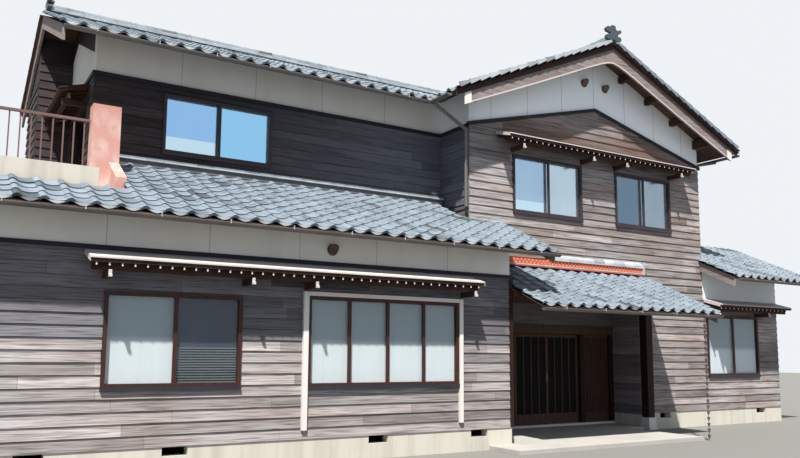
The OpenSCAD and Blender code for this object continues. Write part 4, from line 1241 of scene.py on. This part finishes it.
@dataclass
class CanopyTrim:
    """Pale edge, white rafter ends and pale hooks of a small canopy.

    Attributes:
        name: Name of the pieces.
        x0: Left end.
        x1: Right end.
        face: Place of the wall's face.
        z: Height of the boards at the wall.
        brackets: Where the brackets stand.
        out: How far the boards reach.
        drop: How far they fall on the way.
    """

    name: str
    x0: float
    x1: float
    face: float
    z: float
    brackets: tuple[float, ...]
    out: float = 0.45
    drop: float = 0.13

    def dress(self, scatter: Scatter) -> None:
        """Builds the pieces.

        Args:
            scatter: The node group that repeats.
        """
        wall, tip_y = at(0.0, self.face, self.z), self.face - self.out
        top = self.z - self.drop
        edge = MeshMaker(self.name + "_edge", Look.PALE_WOOD)
        edge.box(at(self.x0 - 0.002, tip_y - 0.003, top - 0.016),
                 at(self.x1 + 0.002, tip_y - 0.0005, top + 0.001))
        near, fall = -0.03, -0.03 * self.drop / self.out
        end = [(-self.out, -self.drop - 0.060), (near, fall - 0.060), (near, fall - 0.002),
               (-self.out, -self.drop - 0.002)]
        for x in (self.x0, self.x1):
            edge.extrude(end, x - 0.003, x + 0.003, wall)
        cover = [(-self.out, -self.drop + 0.001), (-self.out, -self.drop + 0.005), (-0.002, 0.0044),
                 (-0.002, 0.0004)]
        edge.extrude(cover, self.x0, self.x1, wall)
        edge.build("weathered_wood")
        tip = MeshMaker(self.name + "_tip", Look.WHITE)
        tip.box(Vector((-0.009, -0.004, -0.045)), Vector((0.009, 0.006, -0.012)))
        count = int((self.x1 - self.x0) / RAFTER_STEP + 1e-6)
        spots = row_spots(at(self.x0 + RAFTER_STEP / 2, tip_y + 0.03, top - 0.0533), RAFTER_STEP, count)
        scatter.repeat(self.name + "_tips", tip.mesh(), spots, Look.WHITE)
        hook = MeshMaker(self.name + "_hook", Look.PALE_WOOD)
        hook.extrude([(0.0, 0.001), (-0.017, 0.001), (-0.017, -0.05), (-0.045, -0.062), (-0.045, -0.088),
                      (0.0, -0.088)], -0.0285, 0.010)
        spots = [at(x, self.face - 0.3855, self.z - 0.274) for x in self.brackets]
        scatter.repeat(self.name + "_hooks", hook.mesh(), spots, Look.PALE_WOOD)


@dataclass
class PorchRidge:
    """Lattice strip, flat tiles and round caps of the entrance roof's ridge.

    Attributes:
        x0: Left end of the strip.
        cap_x0: Left end of the caps.
        x1: Right end.
        z: Foot of the strip.
        bead: Radius of a bead of the lattice.
        bead_step: How far apart the beads are.
    """

    x0: float = 0.70
    cap_x0: float = 1.82
    x1: float = 4.449
    z: float = 3.235
    bead: float = 0.020
    bead_step: float = 0.046

    def dress(self, scatter: Scatter) -> None:
        """Builds the pieces.

        Args:
            scatter: The node group that repeats.
        """
        for name, left, y, foot in (("porch_foot_tiles", self.x0, -0.194, self.z - 0.024),
                                    ("porch_top_tiles", self.cap_x0 - 0.02, -0.184, self.z + 0.101)):
            flat_row(scatter, name, Look.PALE_TILE, at(left, y, foot), self.x1 - left, (0.0, 0.0),
                     (0.10, 0.023), 0.003, 0.001)
        count = round((self.x1 - self.cap_x0) / CAP_TILE)
        step = (self.x1 - self.cap_x0) / count
        spots = row_spots(at(self.cap_x0, -0.09, self.z + 0.14), step, count)
        scatter.repeat("porch_caps", cap_tile("porch_cap", step, 0.087, 0.004, 14), spots, Look.PALE_TILE)
        ends = MeshMaker("porch_end_tiles", Look.PALE_TILE)
        for x0, z1 in ((self.x1 - 0.055, self.z + 0.235), (self.x0 - 0.012, self.z + 0.13)):
            ends.box(at(x0, -0.182, self.z - 0.03), at(x0 + 0.067, -0.004, z1))
        ends.build("roof_tile")
        bead = MeshMaker("porch_bead", Look.ORANGE)
        angles = [math.pi * k / 4 for k in range(8)]
        bead.plate([(self.bead * math.cos(a), self.bead * math.sin(a)) for a in angles], -0.006, 0.004)
        count = int((self.x1 - self.x0 - 0.04) / self.bead_step)
        spots = [at(self.x0 + 0.03 + self.bead_step * k, -0.16, self.z + (0.028 if k % 2 else 0.072))
                 for k in range(count)]
        scatter.repeat("porch_beads", bead.mesh(), spots, Look.ORANGE)


@dataclass
class BargeTrim:
    """Pale lower edge, dark upper strip and white tips of the gable's bargeboards.

    Attributes:
        name: Name of the pieces.
        y: Face of the boards.
        y_strip: Face of the strip over them.
        out: Way out from the face, -1 at the front and 1 at the rear.
        reach: How far the boards reach from the middle.
        width: Their width.
        sag: How far they sag.
        rounding: Radius at the crown of their lower edge.
        head: How far their upper edge lies below the roof's top.
    """

    name: str
    y: float
    y_strip: float
    out: float
    reach: float = 3.73
    width: float = 0.215
    sag: float = 0.022
    rounding: float = 0.220
    head: float = 0.172

    def lower(self, d: float) -> float:
        """Height of the boards' lower edge.

        Args:
            d: Distance from the middle.

        Returns:
            The height.
        """
        upper = RIDGE_Z - self.head - MAIN_SLOPE * d - self.sag * math.sin(math.pi * d / self.reach)
        drop = self.width / math.cos(math.atan(MAIN_SLOPE))
        return upper - drop - MAIN_SLOPE * (math.sqrt(d * d + self.rounding ** 2) - d)

    def strip_of(self, a: float, b: float, foot: float, top: float) -> list[Point2]:
        """A strip along the boards' lower edge.

        Args:
            a: Where it starts, from the middle.
            b: Where it ends.
            foot: Height of its foot over the edge.
            top: Height of its top over the edge.

        Returns:
            Its outline in (distance from the middle, height).
        """
        return [(a, self.lower(a) + foot), (b, self.lower(b) + foot), (b, self.lower(b) + top),
                (a, self.lower(a) + top)]

    def plate(self, maker: MeshMaker, side: float, y: float, thick: float, outline: list[Point2]) -> None:
        """Adds a plate on one half of the gable.

        Args:
            maker: Where it goes.
            side: -1 for the left half and 1 for the right half.
            y: The face that it lies on.
            thick: How far it stands out.
            outline: Outline in (distance from the middle, height).
        """
        maker.plate([(RIDGE_X + side * d, z) for d, z in outline], y + self.out * thick, y - self.out * 0.001,
                    HOUSE)

    def dress(self) -> None:
        """Builds the pieces."""
        edge = MeshMaker(self.name + "_edge", Look.PALE_WOOD)
        strip = MeshMaker(self.name + "_strip", Look.STAINED)
        tips = MeshMaker(self.name + "_tips", Look.WHITE)
        places = [self.reach * (k / 10) ** 2 for k in range(11)]
        slope_length = 1.0 / math.cos(math.atan(MAIN_SLOPE))
        head, end = RIDGE_Z - ROOF_T * slope_length - 0.003, RIDGE_X + EAVE - 0.04
        foot = head - MAIN_SLOPE * end
        for side in (-1.0, 1.0):
            for a, b in zip(places, places[1:]):
                self.plate(edge, side, self.y, 0.005, self.strip_of(a, b, 0.0, 0.028))
            self.plate(strip, side, self.y_strip, 0.004, [(0.0, head), (end, foot), (end, foot - 0.091),
                                                          (0.0, head - 0.091)])
            self.plate(tips, side, self.y, 0.008, self.strip_of(self.reach - 0.12, self.reach + 0.03, -0.004,
                                                                self.width * slope_length + 0.006))
        edge.build("weathered_wood")
        strip.build("weathered_wood")
        tips.build("white_paint")


@dataclass
class WallTiles:
    """Flat tiles over the lean-to roof, where it meets the wall behind it.

    Attributes:
        x0: Left end.
        x1: Right end.
        y: Their front edge.
        z: Their foot.
    """

    x0: float = -6.15
    x1: float = -0.05
    y: float = 0.735
    z: float = 4.462

    def dress(self, scatter: Scatter) -> None:
        """Builds the tiles on their bedding.

        Args:
            scatter: The node group that repeats.
        """
        # The bedding's near-black colour is painted shade of the hollow under the tiles.
        bed = MeshMaker("wall_tile_bedding", Look.BEDDING)
        bed.box(at(self.x0, self.y + 0.03, self.z - 0.09), at(self.x1, self.y + 0.15, self.z))
        bed.build("roof_tile")
        for k, look in enumerate((Look.PALE_TILE, Look.TILE)):
            flat_row(scatter, f"wall_tiles_{k}", look, at(self.x0, self.y, self.z + 0.026 * k),
                     self.x1 - self.x0, (0.012 * k, 0.0), (0.13, 0.024), 0.006)


@dataclass
class VergeTiles:
    """Tiles that hang over the verge of the gable roof, each a little deeper at its lower end.

    Attributes:
        name: Name of the pieces.
        y: Face of the verge.
        out: Way out from the face, -1 at the front and 1 at the rear.
        half: How far they reach from the middle.
        pitch: Length of a tile.
        start: Where the first one starts, from the middle.
    """

    name: str
    y: float
    out: float
    half: float = 3.96
    pitch: float = 0.245
    start: float = 0.10

    def dress(self, scatter: Scatter) -> None:
        """Builds the tiles of both slopes.

        Args:
            scatter: The node group that repeats.
        """
        angle = math.atan(MAIN_SLOPE)
        count = int(self.half / math.cos(angle) / self.pitch)
        places = [self.start + k * self.pitch * math.cos(angle) for k in range(count)]
        shape = [(0.0, 0.004), (self.pitch, 0.020), (self.pitch, -0.074), (0.0, -0.042)]
        # The left slope's tiles take the paler tile colour, painted sunlight on the lit verge; the right
        # slope's tiles keep the plain tile colour.
        for side, word, look in ((-1.0, "left", Look.PALE_TILE), (1.0, "right", Look.TILE)):
            tile = MeshMaker(f"{self.name}_{word}_tile", look)
            tile.plate([(side * u, z) for u, z in shape], 0.0, self.out * 0.022)
            spots = [at(RIDGE_X + side * d, self.y, RIDGE_Z - MAIN_SLOPE * d) for d in places]
            scatter.repeat(f"{self.name}_{word}", tile.mesh(), spots, look,
                           (0.0, side * angle, 0.0), 0.006, shades=tints(f"{self.name}{side}", count))


@dataclass
class Entrance:
    """Dark panes and pulls of the sliding leaves.

    Attributes:
        stile: Width of a leaf's stiles.
        foot: Height of its bottom rail.
        pull_low: Foot of the pull, above the leaf's own foot.
        pull_high: Top of the pull.
    """

    stile: float = 0.066
    foot: float = 0.21
    pull_low: float = 0.86
    pull_high: float = 1.02

    def dress(self) -> None:
        """Builds the pieces."""
        lap = self.stile - 0.001
        for node, body in (("sliding_door_left", "left_leaf"), ("sliding_door_right", "right_leaf")):
            lo, hi = (Vector(c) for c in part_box(node))
            # The pane is an opaque near-black sheet: painted shade of the dark interior behind the glass.
            glass = MeshMaker(node + "_pane", Look.DARK_PANE)
            glass.box(Vector((lo.x + lap, lo.y + 0.016, lo.z + self.foot - 0.001)),
                      Vector((hi.x - lap, lo.y + 0.0178, hi.z - lap)))
            glass.build("dark_wood", body)
            pull = MeshMaker(node + "_pull", Look.METAL)
            x = hi.x - self.stile / 2 if body == "left_leaf" else lo.x + self.stile / 2
            pull.box(Vector((x - 0.012, lo.y - 0.002, lo.z + self.pull_low)),
                     Vector((x + 0.012, lo.y + 0.001, lo.z + self.pull_high)))
            pull.build("metal", body)


@dataclass
class LineMarks:
    """Thin joints in the plaster and small hooks that hold the gutters.

    Attributes:
        joints: Each joint as x, y, foot and top.
        gutters: Each gutter as left end, right end, y and z.
        hook_step: How far apart the hooks are, about.
    """

    joints: list[Box2]
    gutters: list[Box2]
    hook_step: float = 0.91

    def dress(self) -> None:
        """Builds the pieces."""
        maker = MeshMaker("plaster_joints", Look.JOINT)
        for x, y, z0, z1 in self.joints:
            maker.box(at(x - 0.004, y - 0.0015, z0), at(x + 0.004, y - 0.0002, z1))
        maker.build("plaster")
        hooks = MeshMaker("gutter_hooks", Look.PALE_WOOD)
        for x0, x1, y, z in self.gutters:
            count = max(1, round((x1 - x0) / self.hook_step))
            for k in range(count):
                x = x0 + (k + 0.5) * (x1 - x0) / count
                hooks.box(at(x - 0.006, y - 0.056, z - 0.02), at(x + 0.006, y - 0.053, z + 0.03))
                hooks.box(at(x - 0.006, y - 0.056, z + 0.002), at(x + 0.006, y + 0.03, z + 0.008))
        hooks.build("metal")


class House:
    """The whole house: finishes for the CAD nodes and the pieces that dress them."""

    def __init__(self) -> None:
        """Reads what the pieces hang on from the frame."""
        self.scatter = Scatter()
        self.frames = islands("window_frames")
        self.panes = islands("window_glass")

    def paint(self) -> None:
        """Gives every CAD node its finish."""
        for look, names in LOOK_NODES.items():
            for name in names.split():
                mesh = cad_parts[name].data
                mesh.materials.clear()
                mesh.materials.append(look.material)

    def walls(self) -> list[Wall]:
        """The wall faces that carry boards.

        Returns:
            The walls.
        """
        low, upper, gable = span("lower_front_wall"), span("upper_front_wall"), span("gable_front_wall")
        left, left_front, upper_left, upper_front = low[0].x, low[0].y, upper[0].x, upper[0].y
        right, front, mid = gable[1].x, gable[0].y, (gable[0].x + gable[1].x) / 2
        wing, rear = span("wing_walls"), span("rear_walls")[1].y
        wing_foot, wing_right = wing[0].z, wing[1].x
        foot, plaster, band, eave = 0.35, 3.44, 5.76, 6.2
        deck, lean_top, wing_top = 3.61, 4.2, 3.5
        left_rear, wing_rear, recess_rear = 4.545, 2.78, 0.9
        recess_top, recess_right, post = 2.62, 4.61, 4.791
        closet_left, closet_front = -6.95, 3.2
        row_top = LAP_START + 34 * LAP_PITCH
        gable_top = [(0.0, row_top), (right, row_top), (right, band), (mid, 6.58), (0.0, band)]
        rear_gable = [(0.0, foot), (right, foot), (right, 6.25), (mid, 7.6), (0.0, 6.25)]
        dark, recess = Look.DARK_BOARDS, Look.RECESS_BOARDS
        walls = [
            Wall("boards_lower", Side.FRONT, left_front, rect(left, -0.03, low[0].z, low[1].z),
                 Look.LOW_BOARDS),
            Wall("boards_upper", Side.FRONT, upper_front, rect(upper_left, -0.025, 4.3, band - 0.03), dark),
            Wall("boards_gable", Side.FRONT, front, rect(0.0, right, recess_top, row_top)),
            Wall("boards_gable_top", Side.FRONT, front, gable_top, Look.GABLE_TOP),
            Wall("boards_gable_foot", Side.FRONT, 0.0, rect(post, right, 0.346, recess_top)),
            Wall("boards_wing", Side.FRONT, 0.0, rect(right + 0.002, wing_right, wing_foot, 2.8)),
            Wall("boards_gable_left", Side.LEFT, 0.0, rect(0.0, upper_front, lean_top, band), dark),
            Wall("boards_gable_left_rear", Side.LEFT, 0.0, rect(4.56, GABLE_D, foot, eave)),
            Wall("boards_gable_right", Side.RIGHT, right, rect(2.8, GABLE_D, foot, eave)),
            Wall("boards_gable_right_front", Side.RIGHT, right, rect(0.0, 2.8, 4.55, eave)),
            Wall("boards_rear", Side.REAR, rear, rear_gable),
            Wall("boards_rear_left", Side.REAR, left_rear, rect(left, -0.03, foot, plaster)),
            Wall("boards_rear_left_upper", Side.REAR, left_rear, rect(upper_left, -0.03, deck, 5.78), dark),
            Wall("boards_left_end", Side.LEFT, left, rect(left_front, left_rear, foot, plaster)),
            Wall("boards_upper_end", Side.LEFT, upper_left, rect(0.91, 3.19, deck, band), dark),
            Wall("boards_recess_left", Side.RIGHT, 0.0, rect(left_front + 0.16, recess_rear, 0.36, 2.6),
                 recess),
            Wall("boards_recess_right", Side.LEFT, recess_right, rect(0.16, recess_rear, 0.30, 2.6), recess),
            Wall("boards_wing_right", Side.RIGHT, wing_right, rect(0.0, wing_rear, foot, wing_top)),
            Wall("boards_wing_rear", Side.REAR, wing_rear, rect(6.55, wing_right, foot, wing_top)),
            Wall("boards_closet", Side.LEFT, closet_left, rect(closet_front, left_rear, deck, eave), dark),
            Wall("boards_closet_front", Side.FRONT, closet_front, rect(closet_left, -6.42, deck, 6.6), dark),
        ]
        for wall in walls:
            wall.find_holes(self.frames + self.panes)
        return walls

    def roofs(self) -> list[RoofField]:
        """The tiled slopes.

        Returns:
            The slopes.
        """
        length, half = GABLE_D + 2 * VERGE, RIDGE_X + EAVE
        rear_verge = GABLE_D + VERGE
        front_eave, ridge_y, rear_eave, left_verge = 0.15, 2.727, 5.304, -7.05
        run, straight = 2.577, -left_verge - EAVE
        long = straight + run
        lean_w, lean_d, lean_cut, gable_cut, terrace_cut = 8.881, 2.463, 1.597, 8.155, 2.082
        porch_w, porch_d = 4.49, 1.868
        wing_w, wing_d, wing_cut = 3.24, 2.3, 0.111
        back, z, lean_z = math.pi, MAIN_EAVE_Z, 3.33
        return [
            RoofField("gable_right_slope", (GABLE_W + EAVE, -VERGE, z), TURN_LEFT, MAIN_SLOPE,
                      rect(0.0, length, 0.0, half), 0.283, ("gable_roof",)),
            RoofField("gable_left_slope", (-EAVE, rear_verge, z), -TURN_LEFT, MAIN_SLOPE,
                      [(0.0, 0.0), (rear_verge - rear_eave, 0.0), (rear_verge - ridge_y, run),
                       (rear_verge - front_eave, 0.0), (length, 0.0), (length, half), (0.0, half)], 0.283),
            RoofField("upper_front_slope", (left_verge, front_eave, z), 0.0, MAIN_SLOPE,
                      [(0.0, 0.0), (straight, 0.0), (long, run), (0.0, run)], 0.28, ("upper_roof",)),
            RoofField("upper_rear_slope", (run - EAVE, rear_eave, z), back, MAIN_SLOPE,
                      [(0.0, run), (run, 0.0), (long, 0.0), (long, run)], 0.28),
            RoofField("lean_to_slope", (-8.201, -1.6, 3.346), 0.0, LEAN_SLOPE,
                      [(0.0, 0.0), (lean_w, 0.0), (lean_w, lean_cut), (gable_cut, lean_cut),
                       (gable_cut, lean_d), (terrace_cut, lean_d), (terrace_cut, 1.0), (0.0, 1.0)], 0.2865,
                      ("lean_to_roof",)),
            RoofField("porch_slope", (0.06, -1.87, 2.42), 0.0, LEAN_SLOPE, rect(0.0, porch_w, 0.0, porch_d),
                      0.2806, ("porch_roof",)),
            RoofField("wing_front_slope", (6.41, -0.91, lean_z), 0.0, LEAN_SLOPE,
                      [(0.0, 0.0), (wing_w, 0.0), (wing_w, wing_d), (wing_cut, wing_d), (wing_cut, 0.9),
                       (0.0, 0.9)], 0.27, ("wing_roof",)),
            RoofField("wing_rear_slope", (9.65, 3.69, lean_z), back, LEAN_SLOPE,
                      rect(0.0, wing_w - wing_cut, 0.0, wing_d), 0.27),
        ]

    def screens(self) -> None:
        """Builds what shows behind the panes: curtains, a slatted blind, a painted dark room and sheets with
        painted sky reflections and painted sunlit bands.
        """
        curtain = ((Look.CURTAIN, 0.0, 1.0),)
        # Bands of each pane as finish, foot and top in shares of the height. The pale low bands of the upper
        # and w2 windows are painted sunlight below the eave and canopy shadows; the other sheets are painted
        # reflections.
        looks = {
            "upper": (((Look.SKY_REFLECTION, 0.27, 1.0), (Look.SUNLIT_BAND, 0.0, 0.27)),
                      ((Look.BRIGHT_SKY_REFLECTION, 0.0, 1.0),)),
            "w2": (((Look.HAZE_REFLECTION, 0.2, 1.0), (Look.SUNLIT_BAND, 0.0, 0.2)), ((Look.MILK_REFLECTION, 0.0, 1.0),)),
            "w3": (((Look.DUSK_REFLECTION, 0.0, 1.0),), ((Look.GREY_REFLECTION, 0.0, 1.0),)),
            "a": (curtain, ((Look.ROOM, 0.0, 1.0),)),
            "b": (curtain,) * 4,
            "wing": (curtain,) * 2,
        }
        for lo, hi in self.panes:
            if hi.y - lo.y > 0.02 or lo.y > 2.0:
                continue
            key = ("upper" if lo.y > 0.5 else "wing" if lo.x > 6.5 else "w3" if lo.x > 3.5
                   else "w2" if lo.x > 0 else "b" if lo.x > -4 else "a")
            panes = looks[key]
            width, height = (hi.x - lo.x) / len(panes), hi.z - lo.z
            for i, bands in enumerate(panes):
                x0, x1 = lo.x + i * width, lo.x + (i + 1) * width
                for k, (look, low, high) in enumerate(bands):
                    maker = MeshMaker(f"screen_{key}_{i}_{k}", look)
                    maker.box(at(x0, hi.y + 0.03, lo.z + low * height),
                              at(x1, hi.y + 0.036, lo.z + high * height))
                    maker.build("white_paint")
            if key == "a":
                self.blind(Vector((hi.x - width, hi.y + 0.012, lo.z)), width, 0.44 * height)

    def blind(self, corner: Vector, width: float, height: float) -> None:
        """Builds a blind of level slats.

        Args:
            corner: Its lower left corner, in the house frame.
            width: Its width.
            height: Its height.
        """
        maker = MeshMaker("blind_slats", Look.BLIND)
        pitch, slat = 0.034, Vector((width, 0.012, 0.017))
        for k in range(int(height / pitch)):
            foot = corner + HOUSE + Vector((0.0, 0.0, k * pitch))
            maker.box(foot, foot + slat)
        maker.build("white_paint")

    def sills(self) -> None:
        """Covers the drip sills of the lower windows with dark metal."""
        maker = MeshMaker("dark_sills", Look.DARK_METAL)
        for lo, hi in self.frames:
            if lo.z < 2.0 and lo.y < 0.0:
                maker.box(at(lo.x - 0.001, lo.y - 0.002, lo.z - 0.001),
                          at(hi.x + 0.001, lo.y - 0.0005, lo.z + 0.051))
        maker.build("metal")

    def marks(self) -> LineMarks:
        """The joints in the plaster and the gutters' hooks.

        Returns:
            The marks.
        """
        upper = [(x, 0.909, 5.801, 6.40) for x in (-5.09, -3.83, -2.58, -1.28)]
        lower = [(x, -1.13, 2.862, 3.44) for x in (-7.81, -6.50, -5.18, -3.86, -2.59, -1.28)]
        gable = [(RIDGE_X + d, 0.0, 6.655 - 0.252 * abs(d), 7.83 - MAIN_SLOPE * abs(d))
                 for d in (0.91 * k for k in range(-3, 4))]
        gutters = [(-6.99, -0.83, 0.112, 6.11), (-8.181, 0.67, -1.638, 3.216), (0.06, 4.54, -1.908, 2.29),
                   (6.53, 9.64, -0.948, 3.20)]
        return LineMarks(upper + lower + gable, gutters)

    def build(self) -> None:
        """Dresses the whole house."""
        self.paint()
        for wall in self.walls():
            wall.dress()
        for roof in self.roofs():
            roof.dress(self.scatter)
        self.screens()
        self.sills()
        trims = (
            CanopyTrim("gable_canopy", 0.62, 5.90, 0.0, 5.75, (1.02, 2.84, 3.79, 5.49)),
            CanopyTrim("lower_canopy", -6.75, -0.87, -1.13, 2.795, (-6.5, -4.68, -3.75, -1.0)),
            CanopyTrim("wing_canopy", 6.53, 9.19, 0.0, 2.80, (6.568, 8.40)),
            RidgeTiles("gable_ridge", (RIDGE_X, -0.55, RIDGE_Z - 0.05), TURN_LEFT, 7.5, 0.25, 4),
            RidgeTiles("upper_ridge", (-6.90, 2.727, 7.3081), 0.0, 8.627, 0.22, 3),
            PorchRidge(),
            WallTiles(),
            VergeTiles("front_verge_tiles", -0.621, -1.0),
            VergeTiles("rear_verge_tiles", 7.021, 1.0),
        )
        for part in trims:
            part.dress(self.scatter)
        for part in (BargeTrim("front_barge", -0.555, -0.578, -1.0),
                     BargeTrim("rear_barge", 6.955, 6.978, 1.0), Entrance(), self.marks()):
            part.dress()


@dataclass
class Stage:
    """Floor, light, background and camera.

    Attributes:
        focal_px: Focal length in pixels of the photo.
        centre_y: Height of the optical centre in the photo.
        eye: The camera's place in the house frame.
        yaw: Turn of the view to the right of +Y.
        pitch: Tilt up.
        roll: Turn about the view.
        sun_run: Way the sunlight goes, per metre back from the front.
        sun_strength: Strength of the sun.
        sun_color: Colour of the sun.
        sky: Colour of the light from the sky.
        sky_strength: Its strength.
        backdrop: Colour of the background.
        floor_reach: Half the floor's side.
    """

    focal_px: float = 772.93
    centre_y: float = 256.55
    eye: Point3 = (-8.39223, -11.23431, 1.54157)
    yaw: float = 0.55165
    pitch: float = 0.12451
    roll: float = 0.00696
    sun_run: Point3 = (0.82, 1.0, -2.06)
    sun_strength: float = 8.4
    sun_color: RGB = (1.0, 0.95, 0.88)
    sky: RGB = (0.76, 0.86, 1.0)
    sky_strength: float = 0.62
    backdrop: RGB = (0.86, 0.89, 0.92)
    floor_reach: float = 60.0

    def camera(self) -> None:
        """Sets the camera as the photo was taken."""
        data = bpy.data.cameras.new("photo_camera")
        data.sensor_width = 36.0
        data.lens = data.sensor_width * self.focal_px / PHOTO_W
        data.shift_y = (self.centre_y - PHOTO_H / 2) / PHOTO_W
        data.clip_end = 200.0
        cam = show("photo_camera", data)
        cy, sy, cp, sp = math.cos(self.yaw), math.sin(self.yaw), math.cos(self.pitch), math.sin(self.pitch)
        ahead = Vector((sy * cp, cy * cp, sp))
        right = Vector((cy, -sy, 0.0))
        up = right.cross(ahead)
        cr, sr = math.cos(self.roll), math.sin(self.roll)
        turn = Matrix((cr * right + sr * up, -sr * right + cr * up, -ahead)).transposed().to_4x4()
        cam.matrix_world = Matrix.Translation(at(*self.eye)) @ turn
        bpy.context.scene.camera = cam

    def light(self) -> None:
        """Adds the sun and a pale sky."""
        lamp = bpy.data.lights.new("sun", "SUN")
        lamp.energy = self.sun_strength
        lamp.angle = math.radians(1.2)
        lamp.color = self.sun_color
        show("sun", lamp).rotation_euler = Vector(self.sun_run).to_track_quat("-Z", "Y").to_euler()
        world = bpy.data.worlds.new("sky")
        bpy.context.scene.world = world
        world.use_nodes = True
        tree = world.node_tree
        tree.nodes.clear()
        rays = add_node(tree, "ShaderNodeLightPath").outputs
        seen = rays["Is Camera Ray"]
        for kind in ("Is Glossy Ray", "Is Transmission Ray"):
            seen = add_node(tree, "ShaderNodeMath", {0: seen, 1: rays[kind]}, operation="MAXIMUM").outputs[0]
        sky, pale = (add_node(tree, "ShaderNodeBackground", {0: opaque(color), 1: strength}).outputs[0]
                     for color, strength in ((self.sky, self.sky_strength), (self.backdrop, 1.0)))
        both = add_node(tree, "ShaderNodeMixShader", {0: seen, 1: sky, 2: pale}).outputs[0]
        add_node(tree, "ShaderNodeOutputWorld", {0: both})

    def floor(self) -> None:
        """Lays a plain pale floor."""
        mesh = bpy.data.meshes.new("floor")
        r = self.floor_reach
        mesh.from_pydata([(x, y, -0.002) for x, y in rect(-r, r, -r, r)], [], [(0, 1, 2, 3)])
        finish = PlainFinish("stage_floor", (0.17, 0.168, 0.162), (0.16, 0.158, 0.153), 0.1, 0.9)
        mesh.materials.append(finish.material())
        show("floor", mesh)

    def build(self) -> None:
        """Sets the whole stage."""
        self.camera()
        self.light()
        self.floor()
        bpy.context.scene.view_settings.view_transform = "Standard"


def main() -> None:
    """Builds the house and its stage."""
    logging.basicConfig(level=logging.INFO, format="%(name)s %(message)s")
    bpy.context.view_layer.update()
    House().build()
    Stage().build()


if __name__ == "__main__":
    main()
